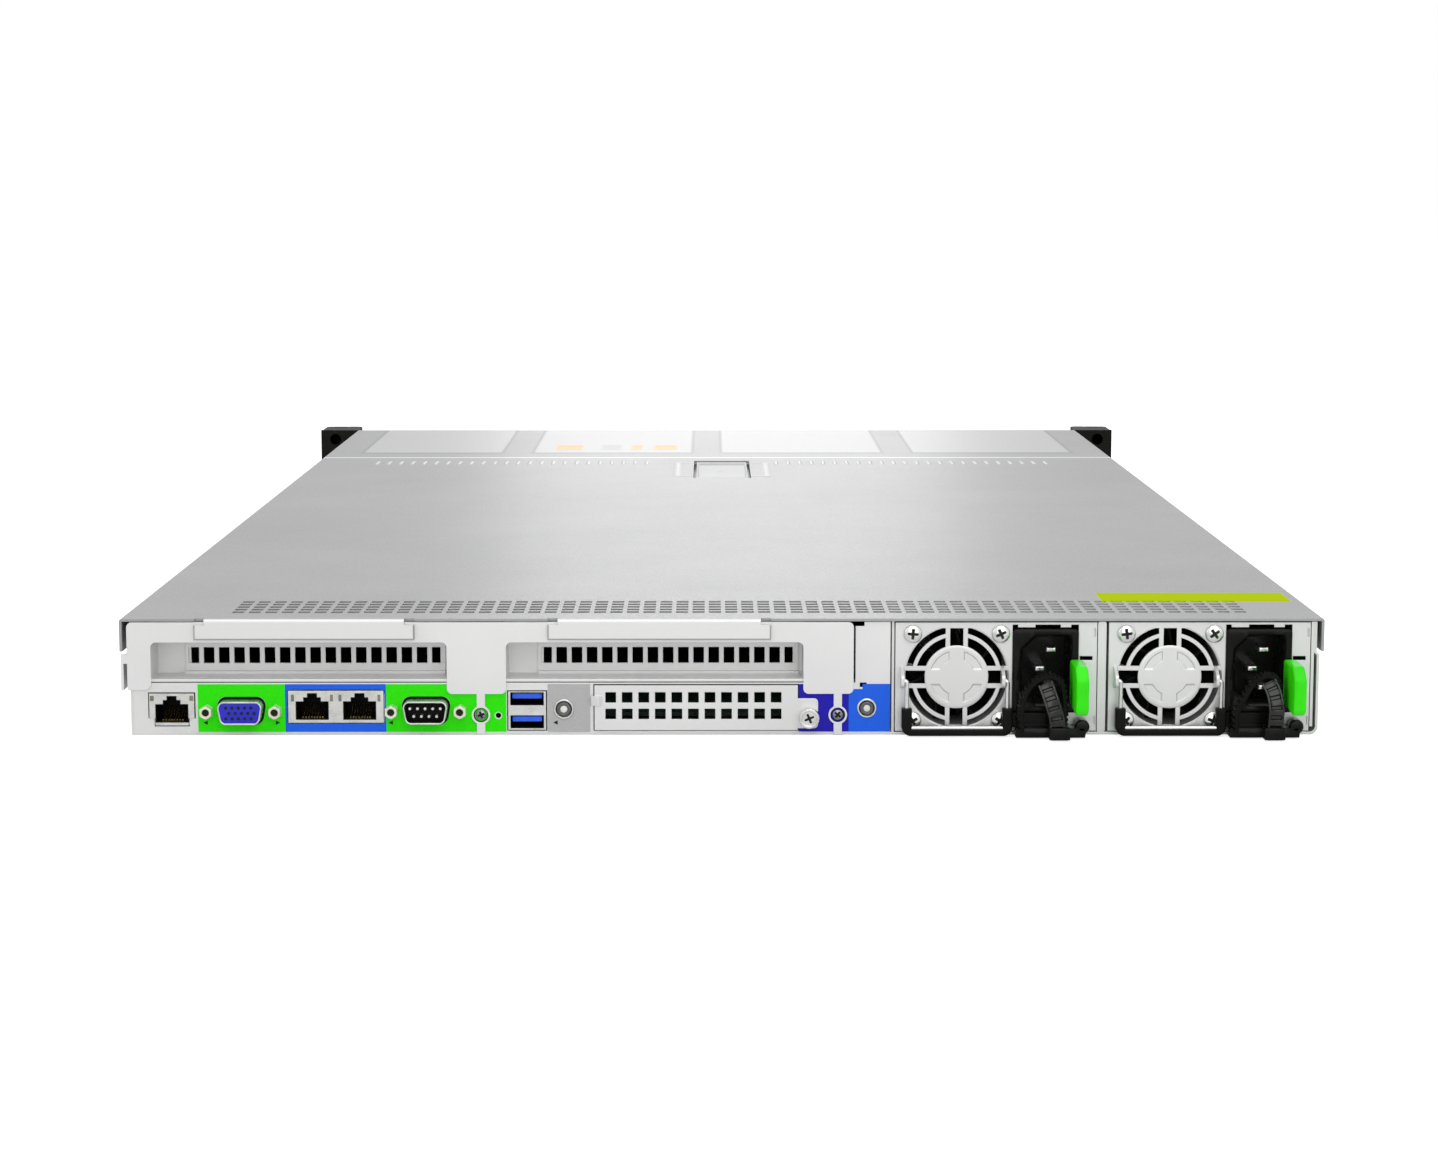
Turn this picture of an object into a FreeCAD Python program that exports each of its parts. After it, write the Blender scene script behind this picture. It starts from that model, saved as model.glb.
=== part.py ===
"""A 1U rack server: steel chassis, lift-off cover, hot-swap supplies, drives and fans.

Millimetres. The origin is the middle of the underside. +X runs to the right of
someone facing the rear panel, +Y from the rear panel to the front, +Z up.
"""
import FreeCAD, Part
import math
import os

V = FreeCAD.Vector

# ---- Body ----
WIDTH = 438.0            # across the cover flanges
HEIGHT = 43.0            # underside to the top of the covers
DEPTH = 780.0            # rear panel to the back of the rack ears
SHEET = 1.0              # steel sheet of the chassis and covers
BEND_R = 1.0             # outer bend of the covers
CORNER_R = 3.0           # outer bend between floor and walls
FLANGE_DROP = 11.0       # how far the cover flanges reach down
WALL_GAP = 0.4           # cover flange to the wall's lower part
JOGGLE = 1.0             # step inwards of the walls behind the cover flanges
RUN = 0.3                # gap between pieces that move past each other
SEAM_FROM_EARS = 172.0   # the seam of the two covers, measured from the ears

HALF_W = WIDTH / 2
REAR_Y = -DEPTH / 2
EAR_Y = DEPTH / 2
SEAM_Y = EAR_Y - SEAM_FROM_EARS
COVER_UNDER = HEIGHT - SHEET
FLANGE_Z = COVER_UNDER - FLANGE_DROP
WALL_X = HALF_W - SHEET - WALL_GAP          # outer face of the wall, lower part
WALL_UP_X = WALL_X - JOGGLE                 # outer face of the wall, upper part
WALL_TOP = COVER_UNDER - RUN
FLOOR_X = WALL_X - CORNER_R - 0.1           # what stands on the flat floor ends here
PANEL_Y = REAR_Y + SHEET                    # inner face of the rear panel

# ---- Rear corner of the left wall ----
INSET_LENGTH = 20.0      # stretch that steps in beside the riser bracket
INSET_STEP = 2.1         # how far it steps in
INSET_X = -(WALL_X - INSET_STEP)            # outer face of the stepped wall

# ---- Rear connector panel ----
IO_TOP = 19.3
IO_LEFT = INSET_X + SHEET
IO_RIGHT = 61.3
IO_FLANGE = 6.0
IO_NOTCH = (50.2, 52.7, 17.6)   # slit in the top edge under the side plate
SIDE_NOTCH = (3.2, 1.6)  # slit in the side plate's upper corner
CUT_GAP = 0.4            # between a connector and its cut-out
PORT_DEPTH = 21.0        # how far connectors reach in behind the panel
BOARD_REAR_Y = PANEL_Y + PORT_DEPTH

MGMT_X = -200.6          # service network jack
MGMT_W = 16.4
MGMT_Z0 = 3.6
MGMT_H = 11.8
MGMT_SHOULDER = 2.6      # height of the two lower corners that the panel covers
MGMT_NOTCH = 2.2         # and their width
LAN_X = -140.8           # pair of network jacks in one housing
LAN_W = 34.8
LAN_PITCH = 17.3
LAN_Z0 = 4.6
LAN_H = 11.8
JACK_W = 12.0            # plug opening of a network jack
JACK_H = 6.8
JACK_STEP_W = 6.4        # room for the plug's spring tongue
JACK_STEP_H = 1.5
JACK_TIP_W = 3.6
JACK_WALL = 1.1
JACK_DEPTH = 13.0

VGA_X = -175.2           # video socket, three rows of contacts
VGA_Z = 9.0
COM_X = -107.9           # serial plug, two rows of pins
COM_Z = 9.1
DSUB_W = 16.9            # long side of the D shell
DSUB_H = 8.4
DSUB_SLOPE = 10.0        # degrees
DSUB_R = 2.4
DSUB_OUT = 5.8           # shell beyond the panel
DSUB_SHELL = 0.5
DSUB_CUT = 1.0           # cut-out beyond the shell
SCREW_SPACING = 24.99    # between the two jackscrews
HEX_R = 2.5
HEX_OUT = 5.0

USB_X = -71.1            # two stacked serial-bus sockets
USB_W = 13.8
USB_Z0 = 1.9
USB_H = 14.2
USB_SLOT_W = 12.2
USB_SLOT_H = 4.8
USB_PITCH = 8.5
USB_TONGUE_W = 10.8
USB_TONGUE_H = 1.9
USB_DEPTH = 12.0

RESET_X = -81.6
RESET_Z = 7.2
RESET_R = 1.0
BUTTON_TRAVEL = 0.8
BUTTON_OUT = 0.9
UID_X = -57.7
UID_Z = 9.6
UID_R = 2.6
POWER_X = 52.8
POWER_Z = 9.9
POWER_R = 2.5
COLLAR_W = 0.8           # ring round a button
COLLAR_OUT = 0.4
STEM_R = 1.2
SWITCH_BODY = 6.0

OCP_LEFT = -46.5         # blank over the mezzanine card slot
OCP_RIGHT = 27.6
OCP_Z0 = 1.9
OCP_Z1 = 18.4
OCP_HOLE = 3.9
OCP_PITCH = 6.03
OCP_ROW = 6.1
OCP_COLS = 11
OCP_DEPTH = 8.0
OCP_TAB = 7.4            # ear that the thumbscrew holds
THUMB_Z = 6.9
THUMB_R = 3.9
THUMB_LEN = 5.0
THUMB_SHANK_R = 1.5

# ---- Riser bracket: windows over two card slots ----
RISER_LEFT = -216.4
WIN1_LEFT = -207.8
WIN1_RIGHT = -100.2
WIN2_LEFT = -78.6
WIN2_RIGHT = 29.6
RISER_RIGHT = 47.9
WIN_TOP = 34.3
RISER_LEG_Z = 15.3
RISER_CORNER = 2.0
RECESS = 14.4            # slot blanks lie this far behind the panel
TRAY_Z = 19.7            # underside of the recess floor
TONGUE_W = 3.0
TONGUE_X = (-87.9, 42.2)
RING_Z = 7.5
RING_R = 3.4
RING_BORE = 2.7          # the screw head sits inside the ring
RING_SCREW_R = 2.4
RING_SCREW_H = 1.2
BLANK_H = 18.0
BLANK_W = 95.8
BLANK_COLS = 17
BLANK_PITCH = 5.6
BLANK_HOLE_W = 3.9
BLANK_HOLE_H = 5.9
BLANK_HOLE_Z = 27.4
SIDE_TAB_Z = (16.8, 28.5)

# ---- Rear cover ----
LIP_BOTTOM = 35.5
LIP_X = ((-191.7, -111.8), (-63.3, 17.7))
LIP_RELIEF = 3.6
VENT_COLS = 62
VENT_ROWS = 5
VENT_HOLE = 4.4
VENT_PITCH_X = 6.05
VENT_PITCH_Y = 6.6
VENT_FROM_REAR = 16.0
VENT_X = 6.5             # middle of the vent field
LATCH_X = 2.2
LATCH_W = 27.0
LATCH_LEN = 88.0
LATCH_FROM_SEAM = 22.0
LATCH_T = 2.2
LATCH_DEPTH = 3.6
LATCH_PIN_R = 0.7

# ---- Power supplies ----
PSU_W = 73.4
PSU_H = 40.0
PSU_LEN = 185.0
PSU_Z = 1.4
PSU_X = 63.1
PSU_PITCH = 77.7
PSU_SKIN = 0.8
PSU_FACE = 1.0
DIVIDER_W = 3.1
FAN_SIZE = 40.0
FAN_INSET = 22.3         # fan centre from the supply's left side
FAN_HOLE_R = 19.0
FAN_HOLE_TOP = 18.0      # the hole is flat at its top and bottom
FAN_SCREW = 16.0         # screws from the fan centre
HUB_R = 11.8
GRILLE_RING = (15.0, 16.4)
SPOKE_GAP = 4.8
SPOKE_W = 1.65
FAN_DEPTH = 28.0
ROTOR_R = 18.2
ROTOR_HUB_R = 10.5
ROTOR_LEN = 20.0
BLADES = 7
BLADE_T = 0.9
BLADE_LEAN = 28.0        # degrees from the shaft
BLADE_SPAN = 0.84        # share of the hub's length
SHAFT_R = 1.5
SHAFT_GAP = 0.05
PAN_R = 3.3
PAN_H = 2.0
INLET_LEFT = 42.6        # inlet block from the supply's left side
INLET_W = 24.1
INLET_Z = 6.8            # above the supply's underside
INLET_H = 30.9
INLET_OUT = 1.0
INLET_DEPTH = 24.0
CAVITY_W = 17.4
CAVITY_H = 24.2
CAVITY_DEPTH = 20.0
CAVITY_CHAMFER = 5.0
PIN_W = 4.0
PIN_T = 2.0
PIN_LEN = 16.0
WIRE_R = 0.9
TOE_R = 0.8              # bent end of a bail leg, in the eye of its clip
CLIP_T = 1.2
BAIL_LEFT = 4.0          # bail legs from the supply's left side
BAIL_RIGHT = 40.6
BAIL_Z = 19.2            # pivot above the supply's underside
GRIP_W = 3.8
GRIP_T = 4.2
GRIP_TOP = 9.2
GRIP_BAR = 2.6
TAB_T = 4.5
TAB_X = 63.3             # left face of the latch tab from the supply's left side
TAB_OUT = 25.0
TAB_Z0 = 9.4
TAB_Z1 = 26.9
TAIL_T = 1.2             # spring tail of the tab, beside the inlet
TAIL_GAP = 0.8
STRAP_W = 5.8            # ladder strap that holds the mains cord
STRAP_T = 1.4
STRAP_X = 53.0           # middle of the strap's loop from the supply's left side
STRAP_LOOP_W = 17.0      # loop across, outside
STRAP_LOOP_TOP = 22.4    # top of the loop above the supply's underside
STRAP_OUT = 13.0         # how far the loop's middle stands out from the face
BASE_W = 25.6            # base block that the strap passes through
BASE_H = 3.6
BASE_OUT = 9.0
KNOB_R = 2.7             # release knob of the strap, under the latch tab
KNOB_X = 67.4
TABS = ((2.0, 8.3), (17.5, 21.3))   # sheet tabs over the inlet, from its left side

# ---- Inside ----
BOARD_Z = 3.0
BOARD_T = 1.6
MEMORY_L = 133.0
FANS = 5
FAN_PITCH = 84.0
FAN_LENGTH = 56.0
FAN_GAP = 8.0            # fan wall to the pocket of the cover latch
BAYS = 4
CAGE_T = 1.2
CAGE_DEPTH = 176.0
BACKPLANE_T = 2.0
BEZEL_T = 6.0
DRIVE_W = 101.6
DRIVE_L = 147.0
DRIVE_H = 26.1
DRIVE_Z = 6.0
LEVER_T = 3.0
LEVER_H = 14.0

# ---- Rack ears ----
EAR_W = 22.3             # each ear beyond the covers; 482.6 over both
EAR_T = 3.0
EAR_BODY = 27.0
EAR_HOLE_INSET = 8.75    # hole centre from the ear's outer edge; 465.1 side to side
EAR_HOLE_Z = 31.75
EAR_HOLE_R = 3.4
EAR_POCKET_R = 5.4
FRONT_BUTTON_R = 3.0


# ---------------------------------------------------------------- helpers
def box(x0, x1, y0, y1, z0, z1):
    """A block between two corners."""
    return Part.makeBox(x1 - x0, y1 - y0, z1 - z0, V(x0, y0, z0))


def rod_x(y, z, radius, x0, x1):
    return Part.makeCylinder(radius, x1 - x0, V(x0, y, z), V(1, 0, 0))


def rod_y(x, z, radius, y0, y1):
    return Part.makeCylinder(radius, y1 - y0, V(x, y0, z), V(0, 1, 0))


def rod_z(x, y, radius, z0, z1):
    return Part.makeCylinder(radius, z1 - z0, V(x, y, z0), V(0, 0, 1))


def outline(points, place):
    """A closed face from (a, b) or (a, b, radius) corners; place(a, b) gives the vector."""
    corners = [place(p[0], p[1]) for p in points]
    radii = [p[2] if len(p) > 2 else 0.0 for p in points]
    ends = []
    for i, corner in enumerate(corners):
        radius = radii[i]
        if radius <= 0:
            ends.append((corner, None, corner))
            continue
        to_last = (corners[i - 1] - corner).normalize()
        to_next = (corners[(i + 1) % len(corners)] - corner).normalize()
        half = to_last.getAngle(to_next) / 2
        reach = radius / math.tan(half)
        middle = (to_last + to_next).normalize()
        apex = corner + middle * (radius / math.sin(half) - radius)
        ends.append((corner + to_last * reach, apex, corner + to_next * reach))
    edges = []
    for i, (start, apex, end) in enumerate(ends):
        if apex is not None:
            edges.append(Part.Arc(start, apex, end).toShape())
        following = ends[(i + 1) % len(ends)][0]
        if end.distanceToPoint(following) > 1e-6:
            edges.append(Part.LineSegment(end, following).toShape())
    return Part.Face(Part.Wire(edges))


def prism_y(points, y0, y1):
    """(x, z[, radius]) corners, extruded along Y."""
    return outline(points, lambda a, b: V(a, y0, b)).extrude(V(0, y1 - y0, 0))


def prism_x(points, x0, x1):
    """(y, z[, radius]) corners, extruded along X."""
    return outline(points, lambda a, b: V(x0, a, b)).extrude(V(x1 - x0, 0, 0))


def prism_z(points, z0, z1):
    """(x, y[, radius]) corners, extruded along Z."""
    return outline(points, lambda a, b: V(a, b, z0)).extrude(V(0, 0, z1 - z0))


def rounded(x0, x1, z0, z1, radius, y0, y1):
    """A block with its four long edges, which run along Y, rounded."""
    return prism_y([(x0, z0, radius), (x1, z0, radius), (x1, z1, radius), (x0, z1, radius)], y0, y1)


def join(first, *others):
    return first.fuse(list(others)).removeSplitter()


def cut(shape, tools):
    return shape.cut(tools).removeSplitter()


def polygon_y(x, z, radius, sides, y0, y1):
    """A prism along Y with equal sides, its corners at the radius."""
    turn = 2 * math.pi / sides
    return prism_y([(x + radius * math.cos(i * turn), z + radius * math.sin(i * turn))
                    for i in range(sides)], y0, y1)


def grid(cols, pitch_x, rows, pitch_y):
    """Centres of a pattern about the origin."""
    return [((i - (cols - 1) / 2) * pitch_x, (j - (rows - 1) / 2) * pitch_y)
            for j in range(rows) for i in range(cols)]


# ---------------------------------------------------------------- chassis sheet metal
def base_pan():
    """Floor and side walls, bent from one sheet; the left wall steps in at the rear."""
    low, up = WALL_X, WALL_UP_X
    step_z = FLANGE_Z - 0.3
    outer = [(-up, WALL_TOP), (-up, step_z), (-low, step_z - JOGGLE), (-low, 0, CORNER_R),
             (low, 0, CORNER_R), (low, step_z - JOGGLE), (up, step_z), (up, WALL_TOP)]
    inner = [(up - SHEET, WALL_TOP), (up - SHEET, step_z - 0.4), (low - SHEET, step_z - 0.4 - JOGGLE),
             (low - SHEET, SHEET, CORNER_R - SHEET), (-low + SHEET, SHEET, CORNER_R - SHEET),
             (-low + SHEET, step_z - 0.4 - JOGGLE), (-up + SHEET, step_z - 0.4), (-up + SHEET, WALL_TOP)]
    pan = prism_y(outer + inner, REAR_Y, EAR_Y)
    step_y = REAR_Y + INSET_LENGTH
    pan = pan.cut(box(-HALF_W, INSET_X, REAR_Y - 1, step_y, -1, HEIGHT))
    pan = pan.cut(box(-HALF_W, INSET_X + SHEET, REAR_Y - 1, step_y, SHEET, HEIGHT))
    inset = box(INSET_X, INSET_X + SHEET, REAR_Y, step_y, SHEET, WALL_TOP)
    jog = box(-up, INSET_X + SHEET, step_y, step_y + SHEET, SHEET, WALL_TOP)
    return join(pan, inset, jog)


def jack_opening(x, z, y0, y1):
    """The plug opening of a network jack: a rectangle with a two-step notch above it."""
    half, step, tip = JACK_W / 2, JACK_STEP_W / 2, JACK_TIP_W / 2
    z1 = z + JACK_H
    z2 = z1 + JACK_STEP_H
    z3 = z2 + JACK_STEP_H
    return prism_y([(x - half, z), (x + half, z), (x + half, z1), (x + step, z1), (x + step, z2),
                    (x + tip, z2), (x + tip, z3), (x - tip, z3), (x - tip, z2), (x - step, z2),
                    (x - step, z1), (x - half, z1)], y0, y1)


def dsub_outline(x, z, grow, y0, y1):
    """The D outline of a connector shell, its long side up."""
    width = DSUB_W / 2 + grow
    half = DSUB_H / 2 + grow
    slope = 2 * half * math.tan(math.radians(DSUB_SLOPE))
    radius = max(DSUB_R + grow, 0.5)
    return prism_y([(x - width, z + half, radius), (x - width + slope, z - half, radius),
                    (x + width - slope, z - half, radius), (x + width, z + half, radius)], y0, y1)


def panel_cutouts():
    """Everything that is punched through the connector panel."""
    y0, y1 = REAR_Y - 1, PANEL_Y + 1
    mgmt = MGMT_W / 2 + CUT_GAP
    shoulder = MGMT_Z0 + MGMT_SHOULDER
    foot = mgmt - MGMT_NOTCH
    cuts = [prism_y([(MGMT_X - mgmt, shoulder), (MGMT_X - foot, shoulder),
                     (MGMT_X - foot, MGMT_Z0 - CUT_GAP), (MGMT_X + foot, MGMT_Z0 - CUT_GAP),
                     (MGMT_X + foot, shoulder), (MGMT_X + mgmt, shoulder),
                     (MGMT_X + mgmt, MGMT_Z0 + MGMT_H + CUT_GAP),
                     (MGMT_X - mgmt, MGMT_Z0 + MGMT_H + CUT_GAP)], y0, y1)]
    lan = LAN_W / 2 + CUT_GAP
    cuts.append(box(LAN_X - lan, LAN_X + lan, y0, y1, LAN_Z0 - CUT_GAP, LAN_Z0 + LAN_H + CUT_GAP))
    for x, z in ((VGA_X, VGA_Z), (COM_X, COM_Z)):
        cuts.append(dsub_outline(x, z, DSUB_CUT, y0, y1))
    usb = USB_W / 2 + CUT_GAP
    cuts.append(box(USB_X - usb, USB_X + usb, y0, y1, USB_Z0 - CUT_GAP, USB_Z0 + USB_H + CUT_GAP))
    cuts.append(rod_y(RESET_X, RESET_Z, RESET_R, y0, y1))
    cuts.append(rod_y(UID_X, UID_Z, UID_R + RUN, y0, y1))
    cuts.append(rod_y(POWER_X, POWER_Z, POWER_R + RUN, y0, y1))
    cuts.append(box(OCP_LEFT - CUT_GAP, OCP_RIGHT + CUT_GAP, y0, y1, OCP_Z0 - CUT_GAP, OCP_Z1 + CUT_GAP))
    cuts.append(rod_y(thumb_x(), THUMB_Z, THUMB_SHANK_R + SHAFT_GAP, y0, y1))
    cuts.append(box(IO_NOTCH[0], IO_NOTCH[1], y0, PANEL_Y + IO_FLANGE + 1, IO_NOTCH[2], IO_TOP + 1))
    return cuts


def button_collar(x, z, radius):
    ring = rod_y(x, z, radius + RUN + COLLAR_W, REAR_Y - COLLAR_OUT, REAR_Y)
    return ring.cut(rod_y(x, z, radius + RUN, REAR_Y - 1, REAR_Y + 1))


def rear_io_panel():
    """Flat connector panel with a top flange and an end flange bent forwards."""
    plate = box(IO_LEFT, IO_RIGHT, REAR_Y, PANEL_Y, SHEET, IO_TOP)
    top = box(IO_LEFT, IO_RIGHT, REAR_Y, PANEL_Y + IO_FLANGE, IO_TOP - SHEET / 2, IO_TOP)
    end = box(IO_LEFT, IO_LEFT + SHEET, REAR_Y, PANEL_Y + IO_FLANGE, SHEET, IO_TOP)
    collars = [button_collar(UID_X, UID_Z, UID_R), button_collar(POWER_X, POWER_Z, POWER_R)]
    return cut(join(plate, top, end, *collars), panel_cutouts())


def recess(left, right):
    """The channel behind a window: side walls, floor and the frame that holds a blank."""
    y1 = REAR_Y + RECESS
    top = COVER_UNDER - 2 * RUN
    floor = box(left - SHEET, right + SHEET, REAR_Y, y1 + SHEET, TRAY_Z, TRAY_Z + SHEET)
    wall_l = box(left - SHEET, left, REAR_Y, y1 + SHEET, TRAY_Z, top)
    wall_r = box(right, right + SHEET, REAR_Y, y1 + SHEET, TRAY_Z, top)
    frame = box(left - SHEET, right + SHEET, y1, y1 + SHEET, TRAY_Z, top)
    blank_l = right - 1.5 - BLANK_W
    foot_z = TRAY_Z + SHEET
    opening = box(blank_l + 2, right - 3.5, y1 - 1, y1 + 2, foot_z + 3, foot_z + BLANK_H - 3)
    return join(floor, wall_l, wall_r, frame).cut(opening)


def riser_bracket():
    """Face plate over both card windows, screwed down by two ringed tongues."""
    y0, y1 = REAR_Y - SHEET, REAR_Y
    r = RISER_CORNER
    top = COVER_UNDER - RUN
    face = prism_y([(RISER_LEFT, RISER_LEG_Z + 1.5), (WIN1_LEFT - 1.5, RISER_LEG_Z + 1.5),
                    (WIN1_LEFT, RISER_LEG_Z + 3), (WIN1_LEFT, WIN_TOP, r), (WIN1_RIGHT, WIN_TOP, r),
                    (WIN1_RIGHT, RISER_LEG_Z, r), (WIN2_LEFT, RISER_LEG_Z, r), (WIN2_LEFT, WIN_TOP, r),
                    (WIN2_RIGHT, WIN_TOP, r), (WIN2_RIGHT, RISER_LEG_Z, r),
                    (RISER_RIGHT, RISER_LEG_Z, r), (RISER_RIGHT, top, r), (RISER_LEFT, top, r)], y0, y1)
    pieces = [recess(WIN1_LEFT, WIN1_RIGHT), recess(WIN2_LEFT, WIN2_RIGHT)]
    for x in TONGUE_X:
        pieces.append(box(x - TONGUE_W / 2, x + TONGUE_W / 2, y0, y1, 0.3, RISER_LEG_Z + 1))
        pieces.append(rod_y(x, RING_Z, RING_R, y0, y1))
    tab_x = -HALF_W + RUN
    z0, z1 = SIDE_TAB_Z
    pieces.append(box(tab_x, tab_x + SHEET, y0, REAR_Y + INSET_LENGTH - 2, z0, z1))
    pieces.append(box(tab_x, RISER_LEFT + 1, y0, y1, z1 - 2, z1 + 1.5))
    holes = [rod_y(x, RING_Z, RING_BORE, y0 - 1, y1 + 1) for x in TONGUE_X]
    return cut(join(face, *pieces), holes)


def riser_side_plate():
    """Narrow plate that fills the panel between the riser bracket and the supplies."""
    x0 = RISER_RIGHT + 0.7
    plate = box(x0, IO_RIGHT, REAR_Y, PANEL_Y, IO_TOP, WALL_TOP)
    return plate.cut(box(x0 - 1, x0 + SIDE_NOTCH[0], REAR_Y - 1, PANEL_Y + 1, WALL_TOP - SIDE_NOTCH[1], HEIGHT))


def pcie_blank(right):
    """Perforated slot blank with a bent foot, seated on the recess frame."""
    left = right - BLANK_W
    y1 = REAR_Y + RECESS
    z0 = TRAY_Z + SHEET
    plate = box(left, right, y1 - SHEET, y1, z0, z0 + BLANK_H)
    foot = box(left, right, y1 - 3, y1, z0, z0 + SHEET)
    middle = (left + right) / 2
    holes = []
    for dx, _ in grid(BLANK_COLS, BLANK_PITCH, 1, 0):
        holes.append(box(middle + dx - BLANK_HOLE_W / 2, middle + dx + BLANK_HOLE_W / 2, y1 - 2, y1 + 1,
                         BLANK_HOLE_Z - BLANK_HOLE_H / 2, BLANK_HOLE_Z + BLANK_HOLE_H / 2))
    return join(plate, foot).cut(holes)


def thumb_x():
    return OCP_RIGHT + OCP_TAB * 0.55


def ocp_blank():
    """Perforated tray over the mezzanine slot, with a hook at one end and a screwed ear."""
    y0 = REAR_Y - SHEET
    tray = box(OCP_LEFT, OCP_RIGHT, y0, REAR_Y + OCP_DEPTH, OCP_Z0, OCP_Z1)
    hollow = box(OCP_LEFT + SHEET, OCP_RIGHT - SHEET, REAR_Y, REAR_Y + OCP_DEPTH + 1,
                 OCP_Z0 + SHEET, OCP_Z1 - SHEET)
    ear = prism_y([(OCP_RIGHT - 1, 2.6), (OCP_RIGHT + OCP_TAB, 2.6, 1.5),
                   (OCP_RIGHT + OCP_TAB, 13.6, 1.5), (OCP_RIGHT - 1, 13.6)], y0, REAR_Y)
    hook = prism_z([(OCP_LEFT - 1.4, y0), (OCP_LEFT + 1.5, y0 - 1.2, 0.8), (OCP_LEFT + 3, y0)], 11, 14.5)
    middle_x = (OCP_LEFT + OCP_RIGHT) / 2 - 1
    middle_z = (OCP_Z0 + OCP_Z1) / 2 + 0.8
    holes = [box(middle_x + dx - OCP_HOLE / 2, middle_x + dx + OCP_HOLE / 2, y0 - 1, REAR_Y + 1,
                 middle_z + dz - OCP_HOLE / 2, middle_z + dz + OCP_HOLE / 2)
             for dx, dz in grid(OCP_COLS, OCP_PITCH, 2, OCP_ROW)]
    holes.append(rod_y(thumb_x(), THUMB_Z, THUMB_SHANK_R + SHAFT_GAP, y0 - 1, REAR_Y + 1))
    return join(tray, ear, hook).cut([hollow] + holes)


def ocp_thumbscrew():
    """Round screw head with a driven recess, on a plain shank."""
    x = thumb_x()
    head_y = REAR_Y - SHEET - 0.1
    head = rod_y(x, THUMB_Z, THUMB_R, head_y - THUMB_LEN, head_y)
    recess = polygon_y(x, THUMB_Z, THUMB_R - 1.2, 6, head_y - THUMB_LEN - 1, head_y - THUMB_LEN + 0.6)
    return join(head.cut(recess), rod_y(x, THUMB_Z, THUMB_SHANK_R, head_y, PANEL_Y + 3))


# ---------------------------------------------------------------- connectors
def network_jack(x, width, z0, height, ports):
    """A shielded housing with one or more plug openings."""
    block = box(x - width / 2, x + width / 2, REAR_Y - RUN, BOARD_REAR_Y, z0, z0 + height)
    return block.cut([jack_opening(port, z0 + JACK_WALL, REAR_Y - 2, REAR_Y + JACK_DEPTH) for port in ports])


def mgmt_port():
    """Single jack; its lower corners stand behind the panel."""
    jack = network_jack(MGMT_X, MGMT_W, MGMT_Z0, MGMT_H, [MGMT_X])
    half = MGMT_W / 2
    corners = [box(MGMT_X + a, MGMT_X + b, REAR_Y - 1, PANEL_Y, MGMT_Z0 - 1, MGMT_Z0 + MGMT_SHOULDER)
               for a, b in ((-half - 1, -half + MGMT_NOTCH), (half - MGMT_NOTCH, half + 1))]
    return jack.cut(corners)


def lan_ports():
    return network_jack(LAN_X, LAN_W, LAN_Z0, LAN_H, [LAN_X - LAN_PITCH / 2, LAN_X + LAN_PITCH / 2])


def dsub_body(x, z):
    """Flange and moulded body behind the panel, common to both D connectors."""
    flange = box(x - 15.4, x + 15.4, PANEL_Y, PANEL_Y + 1, z - 6.1, z + 6.1)
    return join(flange, box(x - 14.0, x + 14.0, PANEL_Y + 1, BOARD_REAR_Y, z - 5.4, z + 5.4))


def vga_port():
    """Socket: a D shell with its insert set a little back in it."""
    shell = dsub_outline(VGA_X, VGA_Z, 0, REAR_Y - DSUB_OUT, PANEL_Y)
    hollow = dsub_outline(VGA_X, VGA_Z, -DSUB_SHELL, REAR_Y - DSUB_OUT - 1, REAR_Y - DSUB_OUT + 0.4)
    return join(dsub_body(VGA_X, VGA_Z), shell).cut(hollow)


def com_port():
    """Plug: a hollow D shell round nine pins."""
    shell = dsub_outline(COM_X, COM_Z, 0, REAR_Y - DSUB_OUT, PANEL_Y)
    hollow = dsub_outline(COM_X, COM_Z, -DSUB_SHELL, REAR_Y - DSUB_OUT - 1, REAR_Y - 0.2)
    shape = join(dsub_body(COM_X, COM_Z), shell).cut(hollow)
    pins = []
    for count, dz in ((5, 1.42), (4, -1.42)):
        for i in range(count):
            px = COM_X + (i - (count - 1) / 2) * 2.77
            pins.append(polygon_y(px, COM_Z + dz, 0.55, 6, REAR_Y - DSUB_OUT + 1, REAR_Y))
    return join(shape, *pins)


def usb_ports():
    """Two stacked sockets, each with a tongue along the top of its opening."""
    block = box(USB_X - USB_W / 2, USB_X + USB_W / 2, REAR_Y - RUN, BOARD_REAR_Y, USB_Z0, USB_Z0 + USB_H)
    slots = []
    tongues = []
    for level in (0, 1):
        z0 = USB_Z0 + 0.6 + level * USB_PITCH
        slots.append(box(USB_X - USB_SLOT_W / 2, USB_X + USB_SLOT_W / 2, REAR_Y - 2, REAR_Y + USB_DEPTH,
                         z0, z0 + USB_SLOT_H))
        tongue_z = z0 + USB_SLOT_H - 0.5
        tongues.append(box(USB_X - USB_TONGUE_W / 2, USB_X + USB_TONGUE_W / 2, REAR_Y + 1,
                           REAR_Y + USB_DEPTH + 1, tongue_z - USB_TONGUE_H, tongue_z))
    return join(block.cut(slots), *tongues)





def jackscrews():
    """Four hexagonal standoffs that hold the two D connectors."""
    return Part.makeCompound([polygon_y(x + side * SCREW_SPACING / 2, z, HEX_R, 6, REAR_Y - HEX_OUT, REAR_Y)
                              for x, z in ((VGA_X, VGA_Z), (COM_X, COM_Z)) for side in (-1, 1)])








def bracket_screws():
    """Screw heads inside the rings of the riser bracket's tongues."""
    return Part.makeCompound([rod_y(x, RING_Z, RING_SCREW_R, REAR_Y - RING_SCREW_H, REAR_Y)
                              for x in TONGUE_X])


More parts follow.
